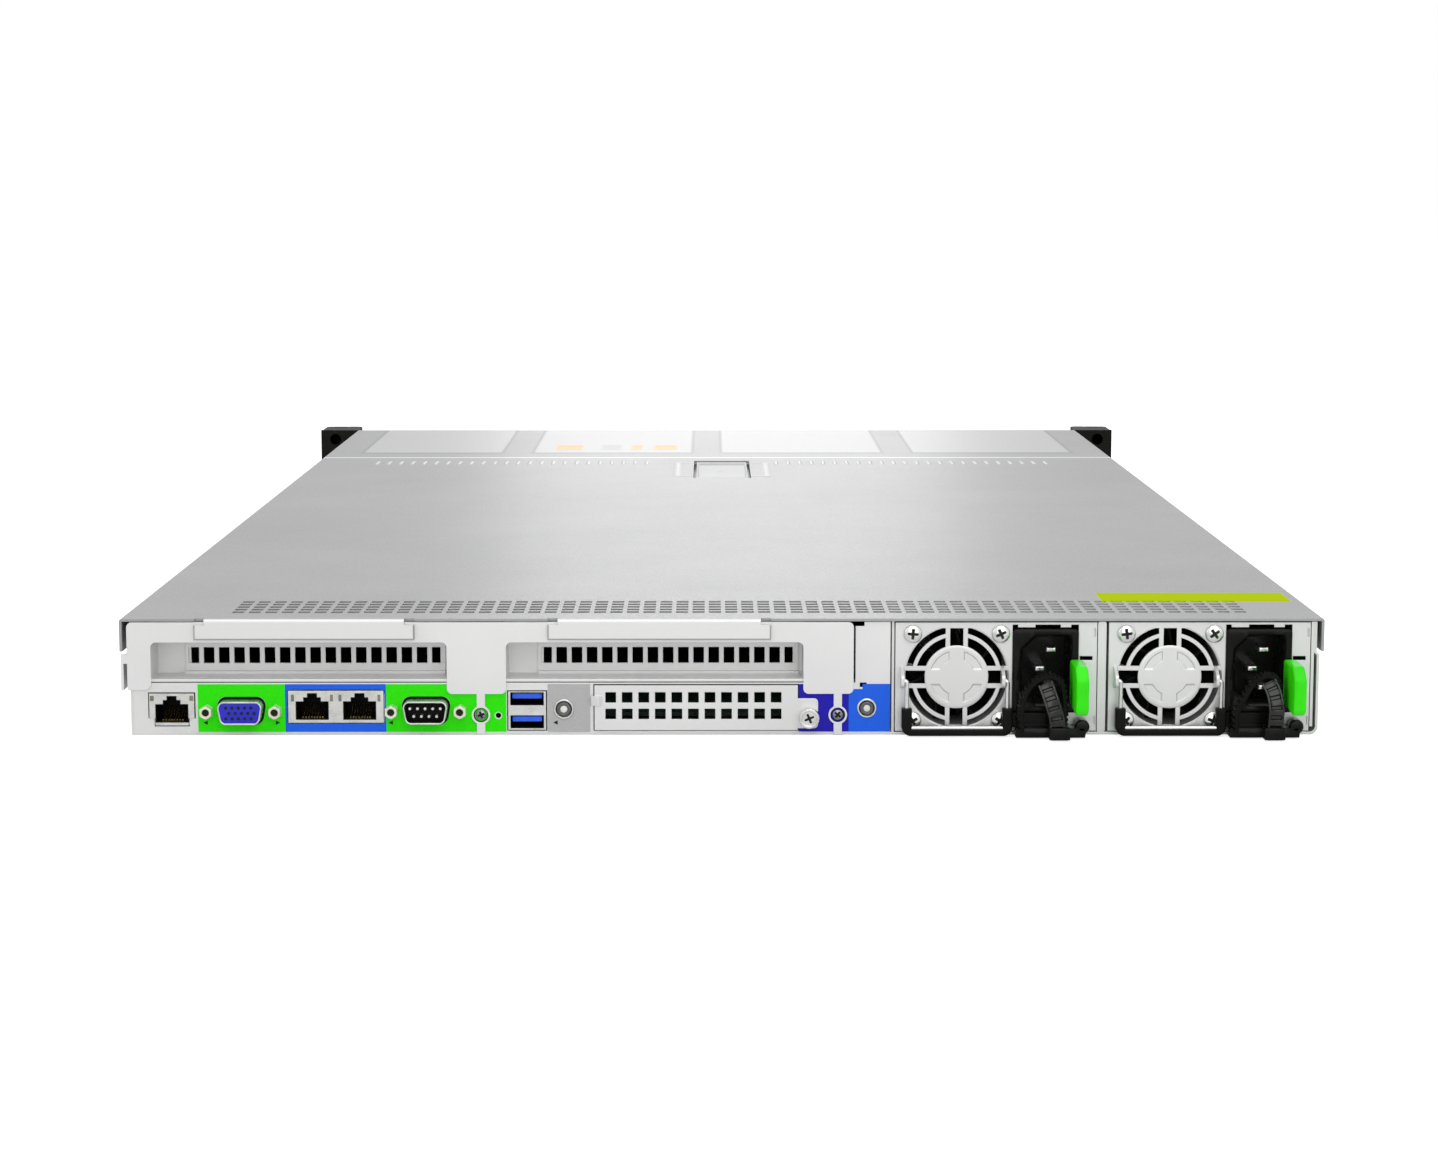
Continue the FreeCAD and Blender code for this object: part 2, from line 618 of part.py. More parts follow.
# ---------------------------------------------------------------- buttons
def panel_button(x, z, radius):
    """Cap with a domed rim on a stem that runs into its switch."""
    cap = rod_y(x, z, radius, REAR_Y - BUTTON_OUT, REAR_Y + 2)
    stem = rod_y(x, z, STEM_R, REAR_Y + 2, BOARD_REAR_Y - SWITCH_BODY + 3)
    return join(cap, stem)


def uid_button():
    return panel_button(UID_X, UID_Z, UID_R)


def rear_power_button():
    return panel_button(POWER_X, POWER_Z, POWER_R)


# ---------------------------------------------------------------- covers
def cover_sheet(y0, y1):
    """Top sheet with a flange down each side, bent round BEND_R."""
    w, inner = HALF_W, HALF_W - SHEET
    return prism_y([(-w, FLANGE_Z), (-inner, FLANGE_Z), (-inner, COVER_UNDER), (inner, COVER_UNDER),
                    (inner, FLANGE_Z), (w, FLANGE_Z), (w, HEIGHT, BEND_R), (-w, HEIGHT, BEND_R)], y0, y1)


def latch_y0():
    return SEAM_Y - LATCH_FROM_SEAM - LATCH_LEN


def top_cover():
    """Rear cover: vent field, welded flanges, two lips over the riser bracket, and the latch pocket."""
    y0, y1 = REAR_Y - SHEET, SEAM_Y - RUN
    w, inner = HALF_W, HALF_W - SHEET
    sheet = box(-inner, inner, y0, y1, COVER_UNDER, HEIGHT)
    flanges = [prism_y([(inner, FLANGE_Z), (w, FLANGE_Z), (w, HEIGHT, BEND_R * 0.98), (inner, HEIGHT)], y0, y1),
               prism_y([(-inner, HEIGHT), (-w, HEIGHT, BEND_R * 0.98), (-w, FLANGE_Z), (-inner, FLANGE_Z)], y0, y1)]
    lip_y = y0 - RUN - SHEET
    lips = [prism_x([(lip_y, LIP_BOTTOM), (lip_y + SHEET, LIP_BOTTOM), (lip_y + SHEET, COVER_UNDER),
                     (y0, COVER_UNDER), (y0, HEIGHT), (lip_y, HEIGHT, BEND_R)], x0, x1) for x0, x1 in LIP_X]
    px0 = LATCH_X - LATCH_W / 2 - 1.5
    px1 = LATCH_X + LATCH_W / 2 + 1.5
    py0 = latch_y0() - 1.5
    py1 = latch_y0() + LATCH_LEN + 1.5
    floor = HEIGHT - LATCH_DEPTH - SHEET
    pocket = box(px0, px1, py0, py1, HEIGHT - LATCH_DEPTH, HEIGHT + 1)
    tray = box(px0 - SHEET, px1 + SHEET, py0 - SHEET, py1 + SHEET, floor, COVER_UNDER).cut(pocket)
    pin = rod_x(latch_pin_y(), latch_pin_z(), LATCH_PIN_R, px0, px1)
    relief = [box(x - LIP_RELIEF if side > 0 else x, x if side > 0 else x + LIP_RELIEF,
                  lip_y - 1, y0 + 1.6, COVER_UNDER - 1.2, HEIGHT + 1)
              for x0, x1 in LIP_X for x, side in ((x0, -1), (x1, 1))]
    vent_y = REAR_Y + VENT_FROM_REAR + (VENT_ROWS - 1) * VENT_PITCH_Y / 2
    half = VENT_HOLE / 2
    vents = [box(VENT_X + dx - half, VENT_X + dx + half, vent_y + dy - half, vent_y + dy + half,
                 COVER_UNDER - 1, HEIGHT + 1)
             for dx, dy in grid(VENT_COLS, VENT_PITCH_X, VENT_ROWS, VENT_PITCH_Y)]
    pieces = [sheet.cut(relief + [pocket] + vents)] + flanges
    pieces += [lip.cut(relief) for lip in lips]
    return Part.makeCompound([solid for piece in pieces + [join(tray, pin)] for solid in piece.Solids])


def latch_pin_y():
    return latch_y0() + LATCH_LEN - 4


def latch_pin_z():
    return HEIGHT - LATCH_T / 2 - 0.2


def cover_latch():
    """Flip-up lever in the pocket: a plate with turned-down sides, hooked on a cross pin."""
    x0, x1 = LATCH_X - LATCH_W / 2, LATCH_X + LATCH_W / 2
    y0, y1 = latch_y0(), latch_y0() + LATCH_LEN
    pin_y, pin_z = latch_pin_y(), latch_pin_z()
    top = HEIGHT - 0.2
    plate = box(x0, x1, y0, pin_y, top - SHEET, top)
    sides = [box(x0, x0 + SHEET, y0, pin_y, top - LATCH_T - 0.6, top),
             box(x1 - SHEET, x1, y0, pin_y, top - LATCH_T - 0.6, top)]
    knuckle = rod_x(pin_y, pin_z, LATCH_T / 2 + 0.1, x0, x1)
    lever = join(plate, knuckle, *sides)
    return lever.cut([rod_x(pin_y, pin_z, LATCH_PIN_R + SHAFT_GAP, x0 - 1, x1 + 1)])


def front_top_cover():
    return cover_sheet(SEAM_Y, EAR_Y)


# ---------------------------------------------------------------- power supplies
def psu_cage():
    """Bay walls: left wall, folded divider post, right wall and a stop at the inner end."""
    y1 = REAR_Y + PSU_LEN
    top = WALL_TOP
    left = box(PSU_X - RUN - SHEET, PSU_X - RUN, PANEL_Y, y1, SHEET, top)
    div_x = PSU_X + PSU_W + RUN
    post = rounded(div_x, div_x + DIVIDER_W, SHEET, top, 0.8, REAR_Y, REAR_Y + 8)
    divider = box(div_x + 1, div_x + 2, REAR_Y + 7, y1, SHEET, top)
    right_x = PSU_X + PSU_PITCH + PSU_W + RUN
    right = box(right_x, WALL_UP_X - SHEET, REAR_Y, y1, CORNER_R, top)
    stop_x0, stop_x1 = PSU_X - RUN - SHEET, FLOOR_X
    bottom = box(stop_x0, stop_x1, y1, y1 + SHEET, SHEET, 7.0)
    upper = box(stop_x0, stop_x1, y1, y1 + SHEET, top - 7.0, top)
    ends = [box(x, x + 2, y1, y1 + SHEET, SHEET, top) for x in (stop_x0, div_x + 0.6, stop_x1 - 2)]
    return join(left, post, divider, right, bottom, upper, *ends)





def fan_grille(x, z):
    """Finger guard stamped in the face: hub disc, ring and four pairs of spokes."""
    y0, y1 = REAR_Y, REAR_Y + PSU_FACE
    inner, outer = GRILLE_RING
    ring = rod_y(x, z, outer, y0, y1).cut(rod_y(x, z, inner, y0 - 1, y1 + 1))
    hub = rod_y(x, z, HUB_R, y0, y1)
    bars = []
    slots = []
    near = SPOKE_GAP / 2
    far = near + SPOKE_W
    reach = FAN_HOLE_R + 0.6
    for side in (-1, 1):
        for a, b in ((near, far), (-far, -near)):
            lo, hi = sorted((side * (HUB_R - 2.2), side * reach))
            bars.append(box(x + a, x + b, y0, y1, z + lo, z + hi))
            bars.append(box(x + lo, x + hi, y0, y1, z + a, z + b))
    for dx, dz in ((1, 0), (-1, 0), (0, 1), (0, -1)):
        cx, cz = x + dx * HUB_R, z + dz * HUB_R
        slots.append(rod_y(cx, cz, near, y0 - 1, y1 + 1))
        ex, ez = x + dx * reach, z + dz * reach
        wx, wz = near * abs(dz), near * abs(dx)
        slots.append(box(min(cx, ex) - wx, max(cx, ex) + wx, y0 - 1, y1 + 1,
                         min(cz, ez) - wz, max(cz, ez) + wz))
    return join(ring, hub, *bars).cut(slots)


def fan_x(left):
    return left + FAN_INSET


def fan_z():
    return PSU_Z + PSU_H / 2 - 0.1


def psu_case(left):
    """Drawn steel case with the finger guard, the fan housing behind it and a card edge."""
    right = left + PSU_W
    z0, z1 = PSU_Z, PSU_Z + PSU_H
    y0, y1 = REAR_Y, REAR_Y + PSU_LEN
    cx, cz = fan_x(left), fan_z()
    case = box(left, right, y0, y1, z0, z1)
    hollow = box(left + PSU_SKIN, right - PSU_SKIN, y0 + PSU_FACE, y1 - PSU_SKIN, z0 + PSU_SKIN, z1 - PSU_SKIN)
    case = case.cut(hollow)
    band = box(left, right, y0 - 1, y0 + PSU_FACE + 0.01, cz - FAN_HOLE_TOP, cz + FAN_HOLE_TOP)
    opening = rod_y(cx, cz, FAN_HOLE_R, y0 - 1, y0 + PSU_FACE + 0.01).common(band)
    inlet_x = left + INLET_LEFT
    inlet = box(inlet_x, inlet_x + INLET_W, y0 - 1, y0 + PSU_FACE + 0.01, z0 + INLET_Z, z1 - PSU_SKIN)
    slot = box(inlet_x + INLET_W + 0.4, right - 1.6, y0 - 1, y0 + PSU_FACE + 0.01,
               z0 + 26.1, z0 + 27.6)
    tail_x = inlet_x + INLET_W + TAIL_GAP
    tail = box(tail_x - TAIL_GAP / 2, tail_x + TAIL_T + TAIL_GAP / 2, y0 - 1, y0 + PSU_FACE + 0.01,
               z0 + TAB_Z0 + 2, z0 + TAB_Z1 - 2)
    notches = [box(right - 1.2, right - 0.5, y0 - 1, y0 + 0.7, z0 + a, z0 + a + 3.2) for a in (2.2, 34.6)]
    vents = [box(left + 6 + i * 9, left + 12 + i * 9, y1 - 2, y1 + 1, z0 + 27, z0 + 36) for i in range(7)]
    case = case.cut([opening, inlet, slot, tail] + notches + vents)
    duct_r = FAN_HOLE_R
    half = FAN_SIZE / 2 - 1.2
    duct = box(cx - half, cx + half, y0 + PSU_FACE, y0 + FAN_DEPTH, cz - half, cz + half)
    duct = duct.cut(rod_y(cx, cz, duct_r - 0.4, y0, y0 + FAN_DEPTH + 1))
    hub_y = y0 + FAN_DEPTH - 3
    struts = [polygon_y(cx, cz, ROTOR_HUB_R, 12, hub_y, hub_y + 3)]
    for a, b in ((FAN_HOLE_R, 1.0), (1.0, FAN_HOLE_R)):
        struts.append(box(cx - a, cx + a, hub_y + 0.5, hub_y + 2.5, cz - b, cz + b))
    shaft = rod_y(cx, cz, SHAFT_R, hub_y - ROTOR_LEN * 0.6, hub_y)
    tabs = [box(inlet_x + a, inlet_x + b, y0, y0 + PSU_FACE, z0 + INLET_Z + INLET_H + 0.5, z1 - PSU_SKIN / 2)
            for a, b in TABS]
    edge_card = box(left + 12, left + 60, y1 - 6, y1 + 9, z0 + 12, z0 + 13.6)
    rest = box(cx - 6, cx + 6, y0 + 4, y0 + FAN_DEPTH, z0 + PSU_SKIN / 2, cz - half + 0.5)
    return join(case, fan_grille(cx, cz), duct, rest, *struts, shaft, edge_card, *tabs)


def fan_rotor(cx, cz, y0, length, radius, hub_r, bore_depth):
    """Hub of flats with leaning blades, and a blind bore for its shaft at the far end."""
    hub = polygon_y(cx, cz, hub_r, 2 * BLADES, y0, y0 + length)
    rise = length * BLADE_SPAN / 2 * math.tan(math.radians(BLADE_LEAN))
    root = math.sqrt(hub_r**2 - (rise + BLADE_T)**2) - 0.8
    tip = math.sqrt(radius**2 - (rise + BLADE_T)**2)
    y_a, y_b = y0 + length * (1 - BLADE_SPAN) / 2, y0 + length * (1 + BLADE_SPAN) / 2
    corners = [V(cx + root, y_a, cz - rise), V(cx + tip, y_a, cz - rise),
               V(cx + math.sqrt(radius**2 - BLADE_T**2), (y_a + y_b) / 2, cz),
               V(cx + tip, y_b, cz + rise), V(cx + root, y_b, cz + rise)]
    blades = []
    for i in range(BLADES):
        blade = Part.Face(Part.makePolygon(corners + corners[:1])).extrude(V(0, 0, BLADE_T))
        blade.rotate(V(cx, 0, cz), V(0, 1, 0), 360.0 * i / BLADES)
        blades.append(blade)
    bore = rod_y(cx, cz, SHAFT_R + SHAFT_GAP, y0 + length - bore_depth, y0 + length + 1)
    return join(hub, *blades).cut(bore)


def psu_rotor(left):
    hub_y = REAR_Y + FAN_DEPTH - 3
    return fan_rotor(fan_x(left), fan_z(), hub_y - RUN - ROTOR_LEN, ROTOR_LEN, ROTOR_R, ROTOR_HUB_R,
                     ROTOR_LEN * 0.6)


def psu_screws(left):
    """Four screw heads that hold the fan to the face."""
    cx, cz = fan_x(left), fan_z()
    return Part.makeCompound([rod_y(cx + sx * FAN_SCREW, cz + sz * FAN_SCREW, PAN_R, REAR_Y - PAN_H, REAR_Y)
                              for sx in (-1, 1) for sz in (-1, 1)])


def psu_inlet(left):
    """Mains inlet turned on its side: chamfered cavity, three blades."""
    x0 = left + INLET_LEFT
    x1 = x0 + INLET_W
    z0 = PSU_Z + INLET_Z
    z1 = z0 + INLET_H
    y0 = REAR_Y - INLET_OUT
    block = rounded(x0, x1, z0, z1, 1.2, y0, REAR_Y + INLET_DEPTH)
    cx = x0 + INLET_W / 2 + 0.3
    cz = (z0 + z1) / 2 + 0.3
    a, b, c = CAVITY_W / 2, CAVITY_H / 2, CAVITY_CHAMFER
    cavity = prism_y([(cx - a + c, cz - b), (cx + a, cz - b, 1.0), (cx + a, cz + b, 1.0), (cx - a + c, cz + b),
                      (cx - a, cz + b - c), (cx - a, cz - b + c)], y0 - 1, y0 + CAVITY_DEPTH)
    pins = []
    for dx, dz in ((-2.0, 0.0), (2.0, 7.0), (2.0, -7.0)):
        pins.append(box(cx + dx - PIN_W / 2, cx + dx + PIN_W / 2, y0 + CAVITY_DEPTH - PIN_LEN,
                        y0 + CAVITY_DEPTH + 1, cz + dz - PIN_T / 2, cz + dz + PIN_T / 2))
    return join(block.cut(cavity), *pins)


def bail_y():
    return REAR_Y - PAN_H - RUN - GRIP_T / 2


def psu_bail(left):
    """Wire legs hanging from two clips, set in the grip."""
    y = bail_y()
    x0, x1 = left + BAIL_LEFT, left + BAIL_RIGHT
    z1 = PSU_Z + BAIL_Z
    z0 = PSU_Z + GRIP_TOP
    toe = WIRE_R + CLIP_T + 3 * SHAFT_GAP
    return Part.makeCompound([join(rod_z(x, y, WIRE_R, z0, z1 + WIRE_R), rod_x(y, z1, TOE_R, x - toe, x))
                              for x in (x0, x1)])


def psu_grip(left):
    """Moulded U grip on the wire: two legs and a bar below them."""
    y = bail_y()
    x0, x1 = left + BAIL_LEFT, left + BAIL_RIGHT
    half = GRIP_W / 2
    z0 = PSU_Z - 0.9
    top = PSU_Z + GRIP_TOP
    outer = prism_y([(x0 - half, z0, 1.2), (x1 + half, z0, 1.2), (x1 + half, top, 1.0), (x0 - half, top, 1.0)],
                    y - GRIP_T / 2, y + GRIP_T / 2)
    inner = prism_y([(x0 + half, z0 + GRIP_BAR, 0.8), (x1 - half, z0 + GRIP_BAR, 0.8),
                     (x1 - half, top + 1), (x0 + half, top + 1)], y - GRIP_T, y + GRIP_T)
    return outer.cut(inner)


def bail_clip(leg_x):
    """Sheet ear on the face, left of a leg, with an eye for the leg's toe."""
    y, z = bail_y(), PSU_Z + BAIL_Z
    x1 = leg_x - WIRE_R - SHAFT_GAP
    reach = SPOKE_GAP / 2 + SPOKE_W
    ear = prism_x([(REAR_Y, fan_z() - reach), (y - 2.0, z - 2.0, 1.5), (y - 2.0, z + 2.0, 1.5),
                   (REAR_Y, fan_z() + reach)], x1 - CLIP_T, x1)
    return ear.cut(rod_x(y, z, TOE_R + SHAFT_GAP, x1 - 3, x1 + 1))


def psu_latch(left):
    """Squeeze tab on a tail that enters the case beside the inlet."""
    x0 = left + TAB_X
    z0, z1 = PSU_Z + TAB_Z0, PSU_Z + TAB_Z1
    y0 = REAR_Y - TAB_OUT
    y1 = REAR_Y - INLET_OUT - 1.3
    tab = prism_x([(y0, z0 + 1.5, 1.4), (y0 + 3, z0, 1.4), (y1, z0 + 1.5, 1.4), (y1, z1, 1.4),
                   (y0 + 5, z1, 1.4), (y0, z1 - 4, 1.4)], x0, x0 + TAB_T)
    tail_x = left + INLET_LEFT + INLET_W + TAIL_GAP
    tail = box(tail_x, tail_x + TAIL_T, y1 - 2, REAR_Y + 14, z0 + 2.5, z1 - 2.5)
    bridge = box(x0, tail_x + TAIL_T, y1 - 2, y1, z0 + 2.5, z1 - 2.5)
    return join(tab, tail, bridge)


def psu_strap(left):
    """Cord holder: a base block with a release knob, and a ladder strap looped up out of it."""
    x = left + STRAP_X
    z0 = PSU_Z - 1.0
    y = REAR_Y - STRAP_OUT
    half = STRAP_LOOP_W / 2
    top = PSU_Z + STRAP_LOOP_TOP
    wide = half * 0.45
    loop = prism_y([(x - half, z0 + 1, 2.0), (x + half, z0 + 1, 2.0), (x + half, top - 5, 5.0), (x + wide, top, 3.0),
                    (x - wide, top, 3.0), (x - half, top - 5, 5.0)], y, y + STRAP_W)
    t = STRAP_T
    inside = prism_y([(x - half + t, z0 + BASE_H - 1, 0.8), (x + half - t, z0 + BASE_H - 1, 0.8),
                      (x + half - t, top - 5 - t * 0.4, 3.8), (x + wide - t * 0.4, top - t, 2.2),
                      (x - wide + t * 0.4, top - t, 2.2), (x - half + t, top - 5 - t * 0.4, 3.8)],
                     y - 1, y + STRAP_W + 1)
    base_x = left + INLET_LEFT + 0.6
    base = box(base_x, base_x + BASE_W, REAR_Y - BASE_OUT, REAR_Y, z0, z0 + BASE_H)
    knob = rod_y(left + KNOB_X, z0 + BASE_H + 0.3, KNOB_R, REAR_Y - BASE_OUT, REAR_Y - 3)
    return join(base, knob, loop.cut(inside))


# ---------------------------------------------------------------- inside the chassis
def board_y1():
    return fan_y0() - 10


def motherboard():
    """Main board on standoffs, with switch bodies, memory sockets and card slots."""
    z0, z1 = BOARD_Z, BOARD_Z + BOARD_T
    rear = BOARD_REAR_Y
    wide = REAR_Y + PSU_LEN + 30
    left = -(WALL_X - SHEET) + 2
    board = prism_z([(left, rear), (IO_RIGHT - 2, rear), (IO_RIGHT - 2, wide), (-left, wide),
                     (-left, board_y1()), (left, board_y1())], z0, z1)
    pieces = []
    for x in (left + 8, -60.0, IO_RIGHT - 12):
        for y in (rear + 25, -150.0, board_y1() - 8):
            pieces.append(hex_standoff(x, y, z0))
    for x, z in ((UID_X, UID_Z), (POWER_X, POWER_Z)):
        body = box(x - 3.5, x + 3.5, rear - SWITCH_BODY, rear + 4, z0, z + 3.5)
        pieces.append(body.cut(rod_y(x, z, STEM_R + 0.08, rear - SWITCH_BODY - 1, rear - SWITCH_BODY + 4.5)))
    for x in memory_xs():
        pieces.append(box(x - 3, x + 3, memory_y0() - 3, memory_y0() + MEMORY_L + 3, z1, z1 + 3))
    for x in riser_xs():
        pieces.append(box(x - 3.5, x + 3.5, rear + 20, rear + 130, z1, z1 + 5))
    return join(board, *pieces)


def hex_standoff(x, y, top):
    corners = [(x + 3 * math.cos(math.radians(60 * i)), y + 3 * math.sin(math.radians(60 * i))) for i in range(6)]
    return prism_z(corners, SHEET, top)


def memory_y0():
    return board_y1() - MEMORY_L - 6


def memory_xs():
    """Sockets in four groups, beside and between the two processors."""
    xs = []
    for group in (-190.0, -38.0, 38.0, 190.0):
        inward = -1 if group > 0 else 1
        for i in range(4):
            xs.append(group + inward * i * 9.0 if abs(group) > 100 else group + (i - 1.5) * 9.0)
    return xs


def riser_xs():
    return (WIN1_RIGHT + 8, WIN2_RIGHT + 10)


def memory_modules():
    z0 = BOARD_Z + BOARD_T + 3
    return Part.makeCompound([box(x - 0.7, x + 0.7, memory_y0(), memory_y0() + MEMORY_L, z0, z0 + 30)
                              for x in memory_xs()])


def cpu_heatsinks():
    """Two finned coolers on the main board."""
    sinks = []
    z0 = BOARD_Z + BOARD_T
    for x in (-110.0, 110.0):
        sink = box(x - 39, x + 39, memory_y0() + 14, memory_y0() + 120, z0, z0 + 8)
        fins = [box(x - 39 + i * 7.68, x - 37.8 + i * 7.68, memory_y0() + 14, memory_y0() + 120, z0 + 8, z0 + 33)
                for i in range(11)]
        sinks.append(join(sink, *fins))
    return Part.makeCompound(sinks)


def riser_cards():
    z0 = BOARD_Z + BOARD_T + 5
    return Part.makeCompound([box(x - 0.8, x + 0.8, BOARD_REAR_Y + 20, BOARD_REAR_Y + 130, z0, z0 + 26)
                              for x in riser_xs()])


def power_board():
    """Upright board with one socket for each supply's card edge."""
    y0 = REAR_Y + PSU_LEN + 12
    board = box(PSU_X, WALL_UP_X - SHEET - 1, y0, y0 + 2, SHEET, 38.0)
    sockets = []
    for n in (0, 1):
        left = PSU_X + n * PSU_PITCH
        socket = box(left + 8, left + 64, y0 - 10, y0, PSU_Z + 9, PSU_Z + 17)
        slot = box(left + 11.5, left + 60.5, y0 - 11, y0 - 2, PSU_Z + 11.7, PSU_Z + 13.9)
        sockets.append(socket.cut(slot))
    return join(board, *sockets)


def backplane_y():
    return EAR_Y - CAGE_DEPTH - BACKPLANE_T


def fan_y0():
    return latch_y0() - FAN_GAP - FAN_LENGTH


def fan_xs():
    return [(i - (FANS - 1) / 2) * FAN_PITCH for i in range(FANS)]


def fan_mid_z():
    return SHEET + 0.2 + FAN_SIZE / 2


def fan_frames():
    """Five square ducts in one sheet tray, each with a motor plate on struts."""
    y0, y1 = fan_y0(), fan_y0() + FAN_LENGTH
    cz = fan_mid_z()
    half = FAN_SIZE / 2
    edge = WALL_X - SHEET - 2
    pieces = [box(-edge, edge, y0 + 8, y1 - 8, SHEET, SHEET + 0.4)]
    for x in fan_xs():
        duct = box(x - half, x + half, y0, y1, SHEET, cz + half)
        duct = duct.cut(polygon_y(x, cz, FAN_HOLE_R, 24, y0 - 1, y1 + 1))
        plate = polygon_y(x, cz, ROTOR_HUB_R, 12, y1 - 4, y1)
        bars = [box(x - FAN_HOLE_R - 0.5, x + FAN_HOLE_R + 0.5, y1 - 3, y1 - 1, cz - 1, cz + 1),
                box(x - 1, x + 1, y1 - 3, y1 - 1, cz - FAN_HOLE_R - 0.5, cz + FAN_HOLE_R + 0.5)]
        shaft = rod_y(x, cz, SHAFT_R, y1 - 22, y1 - 4)
        pieces += [duct, plate, shaft] + bars
    for i in range(FANS - 1):
        x0 = fan_xs()[i] + half
        pieces.append(box(x0, x0 + FAN_PITCH - FAN_SIZE, y0 + 27, y0 + 28, SHEET, cz + half))
    return join(pieces[0], *pieces[1:])


def chassis_rotor(x):
    return fan_rotor(x, fan_mid_z(), fan_y0() + FAN_LENGTH - 4 - RUN - 34, 34, ROTOR_R, ROTOR_HUB_R, 18)


def bay_width():
    return 2 * FLOOR_X / BAYS


def bay_left(n):
    return -FLOOR_X + n * bay_width()


def drive_cage():
    """Floor sheet, side walls and dividers of the drive bays."""
    y0, y1 = EAR_Y - CAGE_DEPTH, EAR_Y
    x0, x1 = bay_left(0), bay_left(BAYS)
    pieces = [box(x0, x1, y0, y1, SHEET, SHEET + CAGE_T)]
    for n in range(BAYS + 1):
        x = min(max(bay_left(n) - CAGE_T / 2, x0), x1 - CAGE_T)
        pieces.append(box(x, x + CAGE_T, y0, y1, SHEET, WALL_TOP))
    return join(pieces[0], *pieces[1:])


def drive_backplane():
    """Upright board behind the bays with a drive socket and air slots for each."""
    y0 = backplane_y()
    board = box(bay_left(0), bay_left(BAYS), y0, y0 + BACKPLANE_T, SHEET, WALL_TOP - 2)
    cuts = []
    sockets = []
    for n in range(BAYS):
        x = bay_left(n) + 12
        cuts += [box(x + i * 30, x + 22 + i * 30, y0 - 1, y0 + 3, 24, 36) for i in range(3)]
        sockets.append(box(x + 4, x + 46, y0 + BACKPLANE_T, y0 + BACKPLANE_T + 6, DRIVE_Z, DRIVE_Z + 6))
    return join(board.cut(cuts), *sockets)


def drive_tray(n):
    """Carrier with its drive: side rails, slotted bezel and the sealed drive body."""
    x0 = bay_left(n) + CAGE_T / 2 + 0.5
    x1 = bay_left(n + 1) - CAGE_T / 2 - 0.5
    if n == 0:
        x0 += CAGE_T / 2
    if n == BAYS - 1:
        x1 -= CAGE_T / 2
    z0 = SHEET + CAGE_T + RUN
    z1 = WALL_TOP - RUN
    y1 = EAR_Y + EAR_T
    y0 = y1 - BEZEL_T - DRIVE_L - 2
    bezel = box(x0, x1, y1 - BEZEL_T, y1, z0, z1)
    slots = [box(x0 + 8, x1 - 8, y1 - BEZEL_T - 1, y1 - 2, z0 + 4 + i * 5.5, z0 + 7 + i * 5.5) for i in (0, 5)]
    seat = box(x0 - 1, x1 - 12, y1 - LEVER_T - 0.4, y1 + 1, 13.2, 13.2 + LEVER_H + 0.6)
    middle = (x0 + x1) / 2
    half = DRIVE_W / 2
    rails = [box(x0, middle - half, y0, y1 - BEZEL_T + 1, z0, DRIVE_Z + 18),
             box(middle + half, x1, y0, y1 - BEZEL_T + 1, z0, DRIVE_Z + 18)]
    drive = box(middle - half, middle + half, y0, y1 - BEZEL_T + 1, DRIVE_Z, DRIVE_Z + DRIVE_H)
    pin = rod_z(x0 + 5, y1 - LEVER_T / 2 - 0.1, 1.0, 12.2, 28.6)
    return join(bezel.cut(slots + [seat]), drive, pin, *rails)


def drive_lever(n):
    """Swing handle across the bezel, turning on the pin at its left end."""
    x0 = bay_left(n) + CAGE_T / 2 + 0.5
    x1 = bay_left(n + 1) - CAGE_T / 2 - 0.5
    if n == 0:
        x0 += CAGE_T / 2
    if n == BAYS - 1:
        x1 -= CAGE_T / 2
    y1 = EAR_Y + EAR_T - 0.1
    z0, z1 = 13.5, 13.5 + LEVER_H
    bar = prism_z([(x0 + 5, y1 - LEVER_T), (x1 - 14, y1 - LEVER_T, 1.0), (x1 - 14, y1, 1.0), (x0 + 5, y1)], z0, z1)
    knuckle = rod_z(x0 + 5, y1 - LEVER_T / 2, LEVER_T / 2, z0, z1)
    window = box(x0 + 22, x1 - 32, y1 - LEVER_T - 1, y1 + 1, z0 + 3, z1 - 3)
    return join(bar, knuckle).cut([window, rod_z(x0 + 5, y1 - LEVER_T / 2, 1.05, z0 - 1, z1 + 1)])


# ---------------------------------------------------------------- rack ears
def rack_ear(side):
    """Mounting flange with a moulded handle in front of it; screws sit in its pockets."""
    x_in, x_out = side * HALF_W, side * (HALF_W + EAR_W)
    x0, x1 = min(x_in, x_out), max(x_in, x_out)
    flange = box(x0, x1, EAR_Y, EAR_Y + EAR_T, 0, HEIGHT)
    inner = x0 + 0.5 if side < 0 else x0
    outer = x1 if side < 0 else x1 - 0.5
    handle = prism_z([(inner, EAR_Y + EAR_T), (outer, EAR_Y + EAR_T), (outer, EAR_Y + EAR_T + EAR_BODY, 4.0),
                      (inner, EAR_Y + EAR_T + EAR_BODY, 4.0)], 0.3, HEIGHT - 0.3)
    cuts = []
    for dz in (-1, 1):
        z = HEIGHT / 2 + dz * EAR_HOLE_Z / 2
        x = side * (HALF_W + EAR_W - EAR_HOLE_INSET)
        cuts.append(rod_y(x, z, EAR_HOLE_R, EAR_Y - 1, EAR_Y + EAR_T + 1))
        cuts.append(box(x - EAR_POCKET_R, x + EAR_POCKET_R, EAR_Y + EAR_T, EAR_Y + EAR_T + EAR_BODY + 1,
                        z - EAR_POCKET_R, z + EAR_POCKET_R))
    strip = box(side * (HALF_W - SHEET) if side > 0 else -HALF_W - 0.01,
                side * HALF_W + 0.01 if side > 0 else -HALF_W + SHEET,
                EAR_Y, EAR_Y + EAR_T, 0, HEIGHT)
    return join(flange, handle, strip).cut(cuts)


